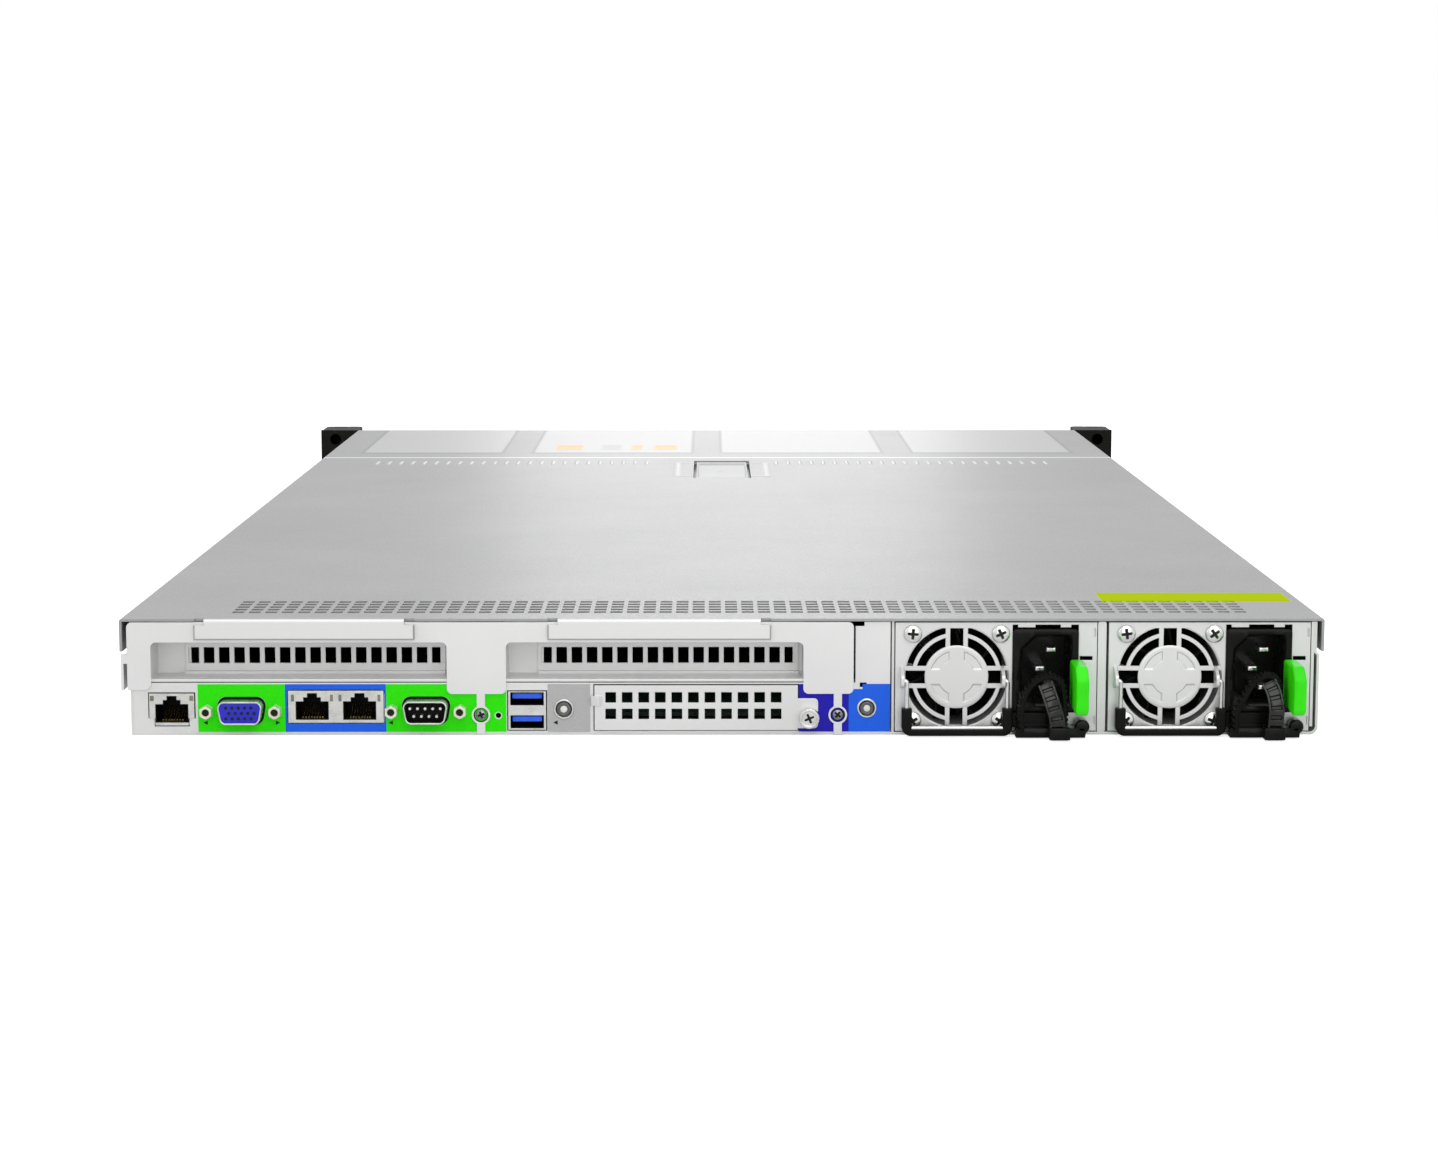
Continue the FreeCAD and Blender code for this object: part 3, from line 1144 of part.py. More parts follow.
def right_ear():
    ear = rack_ear(1)
    y1 = EAR_Y + EAR_T + EAR_BODY
    x = HALF_W + EAR_W / 2
    z = HEIGHT / 2
    return ear.cut(rod_y(x, z, FRONT_BUTTON_R + RUN, y1 - 7, y1 + 1))


def front_power_button():
    y1 = EAR_Y + EAR_T + EAR_BODY
    x = HALF_W + EAR_W / 2
    return rod_y(x, HEIGHT / 2, FRONT_BUTTON_R, y1 - 7 + BUTTON_TRAVEL + 0.4, y1 + BUTTON_OUT)


# ---------------------------------------------------------------- write the parts
def model():
    """Every node by name."""
    nodes = {
        "base_pan": base_pan(),
        "rear_io_panel": join(rear_io_panel(), riser_side_plate()),
        "riser_bracket": riser_bracket(),
        "pcie_blank_1": pcie_blank(WIN1_RIGHT - 1.5),
        "pcie_blank_2": pcie_blank(WIN2_RIGHT - 1.5),
        "ocp_blank": ocp_blank(),
        "ocp_thumbscrew": ocp_thumbscrew(),
        "mgmt_port": mgmt_port(),
        "vga_port": vga_port(),
        "lan_ports": lan_ports(),
        "com_port": com_port(),
        "usb_ports": usb_ports(),
        "jackscrews": jackscrews(),
        "bracket_screws": bracket_screws(),
        "uid_button": uid_button(),
        "rear_power_button": rear_power_button(),
        "top_cover": top_cover(),
        "cover_latch": cover_latch(),
        "front_top_cover": front_top_cover(),
        "psu_cage": psu_cage(),
        "motherboard": motherboard(),
        "cpu_heatsinks": cpu_heatsinks(),
        "memory_modules": memory_modules(),
        "riser_cards": riser_cards(),
        "power_board": power_board(),
        "fan_frames": fan_frames(),
        "drive_cage": drive_cage(),
        "drive_backplane": drive_backplane(),
        "left_ear": rack_ear(-1),
        "right_ear": right_ear(),
        "front_power_button": front_power_button(),
    }
    for n in (1, 2):
        left = PSU_X + (n - 1) * PSU_PITCH
        eyes = [bail_clip(left + x) for x in (BAIL_LEFT, BAIL_RIGHT)]
        nodes["psu_%d_case" % n] = join(psu_case(left), *eyes)
        nodes["psu_%d_rotor" % n] = psu_rotor(left)
        nodes["psu_%d_screws" % n] = psu_screws(left)
        nodes["psu_%d_inlet" % n] = psu_inlet(left)
        nodes["psu_%d_bail" % n] = psu_bail(left)
        nodes["psu_%d_grip" % n] = psu_grip(left)
        nodes["psu_%d_latch" % n] = psu_latch(left)
        nodes["psu_%d_strap" % n] = psu_strap(left)
    for n, x in enumerate(fan_xs(), 1):
        nodes["fan_%d_rotor" % n] = chassis_rotor(x)
    for n in range(BAYS):
        nodes["drive_%d_tray" % (n + 1)] = drive_tray(n)
        nodes["drive_%d_lever" % (n + 1)] = drive_lever(n)
    return nodes


os.makedirs("parts", exist_ok=True)
for name, shape in model().items():
    shape.exportStep("parts/%s.step" % name)
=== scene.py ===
import math

import bmesh
import bpy
import numpy as np
from bpy.props import FloatProperty, FloatVectorProperty, IntProperty, PointerProperty
from bpy.types import Operator, Panel, PropertyGroup
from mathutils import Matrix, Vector


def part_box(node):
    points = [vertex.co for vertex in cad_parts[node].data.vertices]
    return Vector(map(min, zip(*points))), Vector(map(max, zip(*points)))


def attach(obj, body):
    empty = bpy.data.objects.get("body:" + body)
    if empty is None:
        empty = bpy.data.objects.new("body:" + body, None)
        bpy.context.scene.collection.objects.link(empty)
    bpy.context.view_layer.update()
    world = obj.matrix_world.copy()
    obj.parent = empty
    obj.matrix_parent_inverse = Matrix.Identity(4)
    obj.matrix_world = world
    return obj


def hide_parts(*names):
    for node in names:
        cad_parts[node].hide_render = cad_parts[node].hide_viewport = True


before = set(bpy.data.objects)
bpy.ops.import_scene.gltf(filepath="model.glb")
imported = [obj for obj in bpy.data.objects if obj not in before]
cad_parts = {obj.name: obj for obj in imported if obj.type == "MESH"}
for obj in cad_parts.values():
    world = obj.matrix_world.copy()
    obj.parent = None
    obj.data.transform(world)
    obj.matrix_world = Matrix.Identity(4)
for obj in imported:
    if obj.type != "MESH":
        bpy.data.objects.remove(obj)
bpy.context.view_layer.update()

bl_info = {
    "name": "Rack server finish",
    "version": (1, 0, 0),
    "blender": (4, 5, 0),
    "location": "View3D > Sidebar > Rack server",
    "description": "Finishes, printed fields, connectors, fasteners and handles of a flat rack server",
    "category": "Object",
}

MM = 0.001
TURN = 2 * math.pi
PAN_HEAD = 2.0 * MM              # height of the supplies' screw heads
JACKSCREW_OUT = 12.5 * MM        # jackscrew to the middle of its connector
JACK_OUT = 8.65 * MM             # each network jack to the middle of the pair
RESET_X, RESET_Z = -81.6 * MM, 7.2 * MM
EAR_HOLE_INSET = 8.75 * MM       # rack hole to the ear's outer edge
EAR_HOLE_RISE = 15.875 * MM      # rack hole above or below the ear's middle
EAR_POCKET = 5.4 * MM            # half of a screw pocket across


# ---------------------------------------------------------------- where things are
def low(node):
    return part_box(node)[0]


def high(node):
    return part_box(node)[1]


def middle(node):
    return (low(node) + high(node)) / 2


def rear_face():
    """Y of the connector panel's outer face: the supplies' screw heads stand out from it."""
    return low("psu_1_screws").y + PAN_HEAD


# ---------------------------------------------------------------- user settings
def length(name, text, millimetres):
    return FloatProperty(name=name, description=text, default=millimetres * MM, subtype="DISTANCE",
                         unit="LENGTH")


def colour(name, text, value):
    return FloatVectorProperty(name=name, description=text, default=value, subtype="COLOR", size=3,
                               min=0, max=1)


class ServerColours(PropertyGroup):
    """Colours of the finishes, linear."""
    cover: colour("Cover", "Zinc-coated sheet of the covers", (0.345, 0.345, 0.35))
    panel: colour("Panel", "Nickel-coated rear plates", (0.72, 0.72, 0.716))
    green: colour("Green field", "Printed fields round the D connectors", (0.028, 0.80, 0.0))
    blue: colour("Blue field", "Printed fields of network jacks and power button", (0.016, 0.125, 0.78))
    navy: colour("Navy field", "Printed field beside the thumbscrew", (0.018, 0.012, 0.42))
    video: colour("Video insert", "Moulding of the video socket", (0.02, 0.018, 0.46))
    serial_bus: colour("Tongue", "Tongues of the serial-bus sockets", (0.02, 0.11, 0.80))
    strip: colour("Cover strip", "Yellow-green strip on the cover", (0.50, 0.64, 0.012))
    tab: colour("Latch tab", "Squeeze tab of a power supply", (0.030, 0.70, 0.0))
    black: colour("Black plastic", "Inlets, grips, ears and fans", (0.0045, 0.0045, 0.004))
    # board colour darkened far below green solder mask, so the board seen through the blank's holes reads
    # as painted shade
    board: colour("Circuit board", "Solder mask", (0.003, 0.016, 0.008))


class ServerSizes(PropertyGroup):
    """Sizes of the small pieces."""
    film: length("Film thickness", "Printed fields and labels", 0.15)
    contact: length("Contact width", "Width of a network jack's contact wire", 0.42)
    pin: length("Pin radius", "Pins of the serial plug", 0.42)
    wire: length("Bail wire radius", "Wire of a supply's handle", 0.8)
    rung_pitch: length("Rung pitch", "Spacing of the strap's rungs", 2.4)
    knurls: IntProperty(name="Knurls", description="Grooves round the thumbscrew", default=24, min=8,
                        max=60)


class ServerStage(PropertyGroup):
    """Camera, lamps and floor."""
    focal: FloatProperty(name="Focal length", description="Millimetres on a 36 mm sensor", default=78.31)
    key: FloatProperty(name="Key lamp", description="Watts of the large lamp above the rear", default=9.0)
    front: FloatProperty(name="Soft lamp", description="Watts of the lamp that faces the rear plates",
                         default=9.0)
    fill: FloatProperty(name="Fill lamp", description="Watts of the lamp at the left", default=2.5)
    back: FloatProperty(name="Back lamp", description="Watts of the lamp whose shine runs down the covers",
                        default=2.0)
    sky: FloatProperty(name="Sky", description="Strength of the even light around", default=0.62)


# ---------------------------------------------------------------- surfaces from arrays
def mesh_object(name, verts, faces, smooth=True, sharp_angle=32.0):
    """A new object whose faces point outwards, smooth but for edges over sharp_angle degrees."""
    mesh = bpy.data.meshes.new(name)
    mesh.from_pydata([tuple(v) for v in verts], [], faces)
    work = bmesh.new()
    work.from_mesh(mesh)
    bmesh.ops.remove_doubles(work, verts=work.verts, dist=1e-7)
    bmesh.ops.recalc_face_normals(work, faces=work.faces)
    limit = math.radians(sharp_angle)
    for edge in work.edges:
        edge.smooth = len(edge.link_faces) == 2 and edge.calc_face_angle(0) < limit
    for face in work.faces:
        face.smooth = smooth
    work.to_mesh(mesh)
    work.free()
    mesh.update()
    obj = bpy.data.objects.new(name, mesh)
    bpy.context.scene.collection.objects.link(obj)
    return obj


def skin(rings, closed_along=False, caps=True):
    """Quads between closed rings, shape (rings, points, 3); flat caps end it unless it closes on itself."""
    count, points = rings.shape[:2]
    index = np.arange(count * points).reshape(count, points)
    last = count if closed_along else count - 1
    a = index[:last]
    b = index[(np.arange(last) + 1) % count]
    quads = np.stack([a, np.roll(a, -1, 1), np.roll(b, -1, 1), b], axis=-1).reshape(-1, 4)
    faces = quads.tolist()
    if caps and not closed_along:
        faces.append(index[0][::-1].tolist())
        faces.append(index[-1].tolist())
    return rings.reshape(-1, 3), faces


def together(parts):
    """Several (verts, faces) as one."""
    verts = []
    faces = []
    shift = 0
    for v, f in parts:
        verts.append(v)
        faces += [[i + shift for i in face] for face in f]
        shift += len(v)
    return np.concatenate(verts), faces


def in_xz(flat, y):
    """(..., 2) points (x, z) set upright at depth y, a number or an array."""
    out = np.empty(flat.shape[:-1] + (3,))
    out[..., 0] = flat[..., 0]
    out[..., 1] = y
    out[..., 2] = flat[..., 1]
    return out


# Outlines are star-shaped: distance from their centre as a function of the angle.
def round_outline(radius):
    return lambda a: np.full_like(a, radius)


def straight_outline(planes):
    """Inner envelope of half-planes (normal angle, distance): the least distance along each ray."""
    normals = np.array([p[0] for p in planes])
    reach = np.array([p[1] for p in planes])

    def distance(a):
        facing = np.cos(a[:, None] - normals[None, :])
        return np.min(np.where(facing > 1e-6, reach / np.maximum(facing, 1e-6), np.inf), axis=1)
    return distance


def cornered(corners, radius, steps=5):
    """Half-planes of a convex polygon, counter-clockwise, its corners rounded by tangents of an arc."""
    pts = np.array(corners, float)
    planes = []
    count = len(pts)
    edge = np.roll(pts, -1, 0) - pts
    normal = np.arctan2(-edge[:, 0], edge[:, 1])
    for i in range(count):
        n = np.array([math.cos(normal[i]), math.sin(normal[i])])
        planes.append((normal[i], float(n @ pts[i])))
        before = normal[i - 1]
        turn = (normal[i] - before) % TURN
        n0 = np.array([math.cos(before), math.sin(before)])
        centre = pts[i] - radius * (n + n0) / (1 + n @ n0)
        for k in range(1, steps):
            a = before + turn * k / steps
            planes.append((a, float(centre @ [math.cos(a), math.sin(a)]) + radius))
    return straight_outline(planes)


def box_outline(width, height, radius=0.0):
    w, h = width / 2, height / 2
    corners = [(w, -h), (w, h), (-w, h), (-w, -h)]
    return cornered(corners, radius) if radius else straight_outline(
        [(0, w), (math.pi / 2, h), (math.pi, w), (-math.pi / 2, h)])


def d_outline(width, height, radius, slope=math.radians(10)):
    """A D shape, long side up."""
    w, h = width / 2, height / 2
    s = height * math.tan(slope)
    return cornered([(w - s, -h), (w, h), (-w, h), (-w + s, -h)], radius)


def ray_angles(*sizes, count=96):
    """Even angles with the corner directions of (width, height) boxes among them."""
    angles = [np.arange(count) * TURN / count]
    for width, height in sizes:
        a = math.atan2(height, width)
        angles.append(np.array([a, math.pi - a, math.pi + a, TURN - a]))
    return np.unique(np.round(np.concatenate(angles), 9))


def along(outline, angles, centre=(0.0, 0.0), grow=0.0):
    r = outline(angles) + grow
    return np.stack([centre[0] + r * np.cos(angles), centre[1] + r * np.sin(angles)], -1)


def slab(outline, centre, y_front, y_back, bevel, count=96, sizes=()):
    """A plate with rounded front edge: rings step in along a quarter circle of radius bevel."""
    angles = ray_angles(*sizes, count=count)
    t = np.linspace(0, math.pi / 2, 5)
    inset = bevel * (1 - np.cos(t))
    depth = y_front + bevel * (1 - np.sin(t))
    rings = [in_xz(along(outline, angles, centre), y_back)]
    for i in range(len(t)):
        rings.append(in_xz(along(outline, angles, centre, -inset[i]), depth[i]))
    return skin(np.array(rings))


def turned(profile, centre, count=40, axis="Y"):
    """A profile of (radius, distance along the axis) spun about centre."""
    pts = np.array(profile, float)
    angles = np.arange(count) * TURN / count
    radius = pts[:, 0][:, None] * np.ones(count)[None, :]
    c, s = np.cos(angles), np.sin(angles)
    rings = np.empty((len(pts), count, 3))
    order = {"Y": (0, 1, 2), "Z": (0, 2, 1), "X": (1, 0, 2)}[axis]
    rings[..., order[0]] = radius * c
    rings[..., order[1]] = pts[:, 1][:, None]
    rings[..., order[2]] = radius * s
    return skin(rings + np.array(centre))


def swept(path, section, up=(0.0, 1.0, 0.0)):
    """Closed section (points, 2) carried along path (n, 3); its second axis keeps to the direction up."""
    path = np.asarray(path, float)
    ahead = np.gradient(path, axis=0)
    ahead /= np.linalg.norm(ahead, axis=1)[:, None]
    side = np.cross(ahead, np.asarray(up, float))
    side /= np.linalg.norm(side, axis=1)[:, None]
    top = np.cross(side, ahead)
    sec = np.asarray(section, float)
    if sec.ndim == 2:
        sec = np.repeat(sec[None], len(path), 0)
    rings = path[:, None, :] + sec[..., 0:1] * side[:, None, :] + sec[..., 1:2] * top[:, None, :]
    return skin(rings)


def smooth_path(points, count):
    """Catmull-Rom curve through the points."""
    p = np.asarray(points, float)
    p = np.vstack([2 * p[0] - p[1], p, 2 * p[-1] - p[-2]])
    spans = len(p) - 3
    t = np.linspace(0, spans - 1e-9, count)
    k = t.astype(int)
    u = (t - k)[:, None]
    a, b, c, d = p[k], p[k + 1], p[k + 2], p[k + 3]
    return 0.5 * (2 * b + (c - a) * u + (2 * a - 5 * b + 4 * c - d) * u**2 + (3 * b - a - 3 * c + d) * u**3)


def superellipse(width, height, power=4.0, count=28):
    a = np.arange(count) * TURN / count
    c, s = np.cos(a), np.sin(a)
    x = np.sign(c) * np.abs(c) ** (2 / power) * width / 2
    z = np.sign(s) * np.abs(s) ** (2 / power) * height / 2
    return np.stack([x, z], -1)


def block(x0, x1, y0, y1, z0, z1, bevel=0.0):
    """A block whose front (low Y) edges are rounded."""
    centre = ((x0 + x1) / 2, (z0 + z1) / 2)
    w, h = x1 - x0, z1 - z0
    if bevel:
        return slab(box_outline(w, h, bevel), centre, y0, y1, bevel, count=24, sizes=[(w, h)])
    angles = ray_angles((w, h), count=4)
    flat = along(box_outline(w, h), angles, centre)
    return skin(np.array([in_xz(flat, y1), in_xz(flat, y0)]))


def place(name, shape, body, finish, slot, *nodes):
    """A piece from (verts, faces), with its finish, body and the solids it stands for; the finish slot
    argument is not used.
    """
    piece = mesh_object(name, *shape)
    piece.data.materials.append(MATERIALS[finish])
    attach(piece, body)
    if nodes:
        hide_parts(*nodes)
    return piece


# ---------------------------------------------------------------- finishes
def finish_material(name):
    """A new node material, its tree and its shader."""
    material = bpy.data.materials.new(name)
    material.use_nodes = True
    tree = material.node_tree
    return material, tree, tree.nodes["Principled BSDF"]


def add(tree, kind, **values):
    node = tree.nodes.new(kind)
    for key, value in values.items():
        if key in node.inputs:
            node.inputs[key].default_value = value
        else:
            setattr(node, key, value)
    return node


def grain(tree, scale, detail=4.0, stretch=(1.0, 1.0, 1.0), roughness=0.55):
    """Noise in object space, stretched for a brushed or rolled look."""
    place = add(tree, "ShaderNodeTexCoord")
    mapping = add(tree, "ShaderNodeMapping")
    mapping.inputs["Scale"].default_value = stretch
    noise = add(tree, "ShaderNodeTexNoise", Scale=scale, Detail=detail, Roughness=roughness)
    tree.links.new(place.outputs["Object"], mapping.inputs["Vector"])
    tree.links.new(mapping.outputs["Vector"], noise.inputs["Vector"])
    return noise.outputs["Fac"]


def spread(tree, value, low_out, high_out, low_in=0.3, high_in=0.7):
    node = add(tree, "ShaderNodeMapRange")
    node.inputs["From Min"].default_value = low_in
    node.inputs["From Max"].default_value = high_in
    node.inputs["To Min"].default_value = low_out
    node.inputs["To Max"].default_value = high_out
    tree.links.new(value, node.inputs["Value"])
    return node.outputs["Result"]


def blend_colours(tree, factor, first, second):
    node = add(tree, "ShaderNodeMix", data_type="RGBA")
    node.inputs[6].default_value = (*first, 1)
    node.inputs[7].default_value = (*second, 1)
    tree.links.new(factor, node.inputs[0])
    return node.outputs[2]


def soft_edges(tree, shader, radius, height, strength, depth):
    """Rounded-edge normals with a fine bump on top; returns how much of an edge a point is."""
    bevel = add(tree, "ShaderNodeBevel", samples=4)
    bevel.inputs["Radius"].default_value = radius
    bump = add(tree, "ShaderNodeBump")
    bump.inputs["Strength"].default_value = strength
    bump.inputs["Distance"].default_value = depth
    tree.links.new(height, bump.inputs["Height"])
    tree.links.new(bevel.outputs["Normal"], bump.inputs["Normal"])
    tree.links.new(bump.outputs["Normal"], shader.inputs["Normal"])
    geometry = add(tree, "ShaderNodeNewGeometry")
    dot = add(tree, "ShaderNodeVectorMath", operation="DOT_PRODUCT")
    tree.links.new(bevel.outputs["Normal"], dot.inputs[0])
    tree.links.new(geometry.outputs["Normal"], dot.inputs[1])
    return spread(tree, dot.outputs["Value"], 1.0, 0.0, 0.80, 0.99)


def sheet_steel(name, base, metallic=0.55, rough=(0.30, 0.44), stretch=(1.0, 0.12, 1.0), edge=0.3 * MM):
    """Plated sheet: rolled grain along Y, cloudy smudges, edges brightened partly as wear and partly as a
    painted highlight.
    """
    material, tree, shader = finish_material(name)
    shader.inputs["Metallic"].default_value = metallic
    fine = grain(tree, 2600, 3.0, stretch)
    cloud = grain(tree, 14, 3.0)
    dull = tuple(c * 0.94 for c in base)
    bright = tuple(min(c * 1.05, 1.0) for c in base)
    # rim: brighter edge colour, partly wear and partly a painted highlight where the edges catch light
    rim = tuple(min(c * 1.25, 0.95) for c in base)
    body = blend_colours(tree, spread(tree, cloud, 0, 1), dull, bright)
    worn_and_highlit_edge = soft_edges(tree, shader, edge, fine, 0.25, 0.02 * MM)
    mix = add(tree, "ShaderNodeMix", data_type="RGBA")
    mix.inputs[7].default_value = (*rim, 1)
    tree.links.new(worn_and_highlit_edge, mix.inputs[0])
    tree.links.new(body, mix.inputs[6])
    tree.links.new(mix.outputs[2], shader.inputs["Base Color"])
    tree.links.new(spread(tree, fine, rough[0], rough[1]), shader.inputs["Roughness"])
    return material


def from_edge(tree, x0, x1, y0, y1, upright=False):
    """Distance outside a rectangle (XY, or XZ when upright), negative inside, in object space."""
    place = add(tree, "ShaderNodeTexCoord")
    shift = add(tree, "ShaderNodeVectorMath", operation="SUBTRACT")
    centre = ((x0 + x1) / 2 * MM, (y0 + y1) / 2 * MM)
    shift.inputs[1].default_value = (centre[0], 0, centre[1]) if upright else (*centre, 0)
    size = add(tree, "ShaderNodeVectorMath", operation="ABSOLUTE")
    less = add(tree, "ShaderNodeVectorMath", operation="SUBTRACT")
    half = ((x1 - x0) / 2 * MM, (y1 - y0) / 2 * MM)
    less.inputs[1].default_value = (half[0], 0, half[1]) if upright else (*half, 0)
    split = add(tree, "ShaderNodeSeparateXYZ")
    most = add(tree, "ShaderNodeMath", operation="MAXIMUM")
    tree.links.new(place.outputs["Object"], shift.inputs[0])
    tree.links.new(shift.outputs[0], size.inputs[0])
    tree.links.new(size.outputs[0], less.inputs[0])
    tree.links.new(less.outputs[0], split.inputs[0])
    tree.links.new(split.outputs["X"], most.inputs[0])
    tree.links.new(split.outputs["Z" if upright else "Y"], most.inputs[1])
    return most.outputs["Value"]


def inside(tree, distance, soft=0.2):
    return spread(tree, distance, 1, 0, -soft * MM, soft * MM)


def outline_of(tree, distance, width):
    """One on the edge of a region, falling to nothing width millimetres to both sides."""
    away = add(tree, "ShaderNodeMath", operation="ABSOLUTE")
    tree.links.new(distance, away.inputs[0])
    return spread(tree, away.outputs["Value"], 1, 0, 0.0, width * MM)


def overlay(tree, shader, mask, colour):
    """Lays a colour over the shader's base colour where the mask is one."""
    under = shader.inputs["Base Color"].links[0].from_socket
    mix = add(tree, "ShaderNodeMix", data_type="RGBA")
    mix.inputs[7].default_value = (*colour, 1)
    tree.links.new(mask, mix.inputs[0])
    tree.links.new(under, mix.inputs[6])
    tree.links.new(mix.outputs[2], shader.inputs["Base Color"])


def press(tree, shader, mask, depth):
    """Adds a pressed or raised shape on top of the shader's present normals."""
    under = shader.inputs["Normal"].links[0].from_socket
    bump = add(tree, "ShaderNodeBump")
    bump.inputs["Strength"].default_value = 1.0
    bump.inputs["Distance"].default_value = depth
    tree.links.new(mask, bump.inputs["Height"])
    tree.links.new(under, bump.inputs["Normal"])
    tree.links.new(bump.outputs["Normal"], shader.inputs["Normal"])


def both_of(tree, first, second):
    node = add(tree, "ShaderNodeMath", operation="MULTIPLY")
    tree.links.new(first, node.inputs[0])
    tree.links.new(second, node.inputs[1])
    return node.outputs["Value"]


def dimples(tree, x0, x1, y0, y1, pitch, width):
    """A row of short pressed ribs: the triangle wave |x / pitch - round(x / pitch)| cut to the row."""
    place = add(tree, "ShaderNodeTexCoord")
    split = add(tree, "ShaderNodeSeparateXYZ")
    wave = add(tree, "ShaderNodeMath", operation="PINGPONG")
    wave.inputs[1].default_value = pitch / 2 * MM
    tree.links.new(place.outputs["Object"], split.inputs[0])
    tree.links.new(split.outputs["X"], wave.inputs[0])
    rib = spread(tree, wave.outputs["Value"], 1, 0, width * 0.3 * MM, width * 0.7 * MM)
    return both_of(tree, rib, inside(tree, from_edge(tree, x0, x1, y0, y1), 1.0))


LABELS = ((-200, -121), (-104, -14), (2, 93), (110, 200))
BLOCKS = ((-92, -77, "orange"), (-66, -55, "shade"), (-49, -43, "orange"), (-36, -23, "orange"))


def cover_print(material, colours):
    """Labels, strip, seam, ribs and the pressed frame round the latch, on the covers' sheet, with painted
    highlights on the seam, ribs and frame, painted light on the rear band, and painted shade along the
    labels' near edges and round the lips.
    """
    tree = material.node_tree
    shader = tree.nodes["Principled BSDF"]
    for x0, x1 in LABELS:
        edge = from_edge(tree, x0, x1, 245, 388)
        overlay(tree, shader, inside(tree, edge), (0.50, 0.505, 0.50))
        overlay(tree, shader, outline_of(tree, edge, 1.4), (0.24, 0.24, 0.25))
        # dark band along the label's near edge: painted shadow of the label's edge
        overlay(tree, shader, inside(tree, from_edge(tree, x0 - 1, x1 + 1, 240.5, 246), 1.0),
                (0.27, 0.27, 0.28))
    for x0, x1, kind in BLOCKS:
        edge = from_edge(tree, x0, x1, 262, 292)
        tint = (0.86, 0.40, 0.13) if kind == "orange" else (0.42, 0.42, 0.45)
        overlay(tree, shader, inside(tree, edge, 1.0), tint)
    # bright line along the seam: painted highlight
    overlay(tree, shader, inside(tree, from_edge(tree, -230, 230, 214.5, 218.5), 0.6), (0.86, 0.86, 0.86))
    strip = inside(tree, from_edge(tree, 143.5, 215, -348, -324))
    overlay(tree, shader, strip, tuple(colours.strip))
    tree.links.new(spread(tree, strip, shader.inputs["Metallic"].default_value, 0.0, 0.0, 1.0),
                   shader.inputs["Metallic"])
    tree.links.new(spread(tree, strip, 0.5, 0.0, 0.0, 1.0), shader.inputs["Specular IOR Level"])
    # rear band of the cover, lips included, lightened to the panel's tone: painted light on the rear-facing
    # faces
    lit_rear_band = inside(tree, from_edge(tree, -230, 230, -400, -391.1), 0.05)
    overlay(tree, shader, lit_rear_band, (0.74, 0.74, 0.735))
    # dark outline round each lip: painted shade
    for x0, x1 in ((-191.7, -111.8), (-63.3, 17.7)):
        lip = from_edge(tree, x0, x1, 35.5, 44.0, True)
        overlay(tree, shader, both_of(tree, outline_of(tree, lip, 0.6), lit_rear_band), (0.16, 0.16, 0.16))
    for x0, x1 in ((-190, -34), (29, 182)):
        ribs = dimples(tree, x0, x1, 178, 195, 6.4, 1.5)
        press(tree, shader, ribs, 0.4 * MM)
        # lighter colour on the ribs: painted highlight
        overlay(tree, shader, spread(tree, ribs, 0.0, 0.6, 0.0, 1.0), (0.80, 0.80, 0.80))
    frame_edge = from_edge(tree, -21.5, 26.0, 116, 186)
    ridge = outline_of(tree, frame_edge, 2.2)
    press(tree, shader, ridge, 0.6 * MM)
    # lighter colour on the ridge: painted highlight
    overlay(tree, shader, spread(tree, ridge, 0.0, 0.5, 0.0, 1.0), (0.84, 0.84, 0.84))
    return material


def bright_metal(name, base, rough=(0.14, 0.30), metallic=0.95, edge=0.15 * MM):
    """Nickel or tin on small parts: fine scratches, slight tarnish."""
    material, tree, shader = finish_material(name)
    shader.inputs["Metallic"].default_value = metallic
    scratch = grain(tree, 3800, 2.0, (1.0, 0.2, 1.0))
    stain = grain(tree, 220, 3.0)
    body = blend_colours(tree, spread(tree, stain, 0, 1), tuple(c * 0.86 for c in base), base)
    tree.links.new(body, shader.inputs["Base Color"])
    soft_edges(tree, shader, edge, scratch, 0.2, 0.01 * MM)
    tree.links.new(spread(tree, stain, rough[0], rough[1]), shader.inputs["Roughness"])
    return material


def moulded(name, base, rough=(0.38, 0.55), texture=1500, depth=0.03 * MM, sheen=0.0, edge=0.25 * MM,
            gloss=0.3):
    """Moulded plastic: spark-eroded texture, faint colour drift."""
    material, tree, shader = finish_material(name)
    shader.inputs["Specular IOR Level"].default_value = gloss
    pits = grain(tree, texture, 2.0)
    drift = grain(tree, 60, 2.0)
    lighter = tuple(min(c * 1.3 + 0.001, 1.0) for c in base)
    body = blend_colours(tree, spread(tree, drift, 0, 1), base, lighter)
    tree.links.new(body, shader.inputs["Base Color"])
    soft_edges(tree, shader, edge, pits, 0.35, depth)
    tree.links.new(spread(tree, pits, rough[0], rough[1]), shader.inputs["Roughness"])
    if sheen:
        shader.inputs["Coat Weight"].default_value = sheen
        shader.inputs["Coat Roughness"].default_value = 0.25
    return material


def printed(name, base, rough=(0.35, 0.5)):
    """Screen-printed film: even colour with a slight mottle and a satin skin."""
    material, tree, shader = finish_material(name)
    shader.inputs["Specular IOR Level"].default_value = 0.12
    mottle = grain(tree, 900, 2.0)
    body = blend_colours(tree, spread(tree, mottle, 0, 1), tuple(c * 0.95 for c in base),
                         tuple(min(c * 1.03, 1.0) for c in base))
    tree.links.new(body, shader.inputs["Base Color"])
    bump = add(tree, "ShaderNodeBump")
    bump.inputs["Strength"].default_value = 0.12
    bump.inputs["Distance"].default_value = 0.02 * MM
    tree.links.new(mottle, bump.inputs["Height"])
    tree.links.new(bump.outputs["Normal"], shader.inputs["Normal"])
    tree.links.new(spread(tree, mottle, rough[0], rough[1]), shader.inputs["Roughness"])
    return material


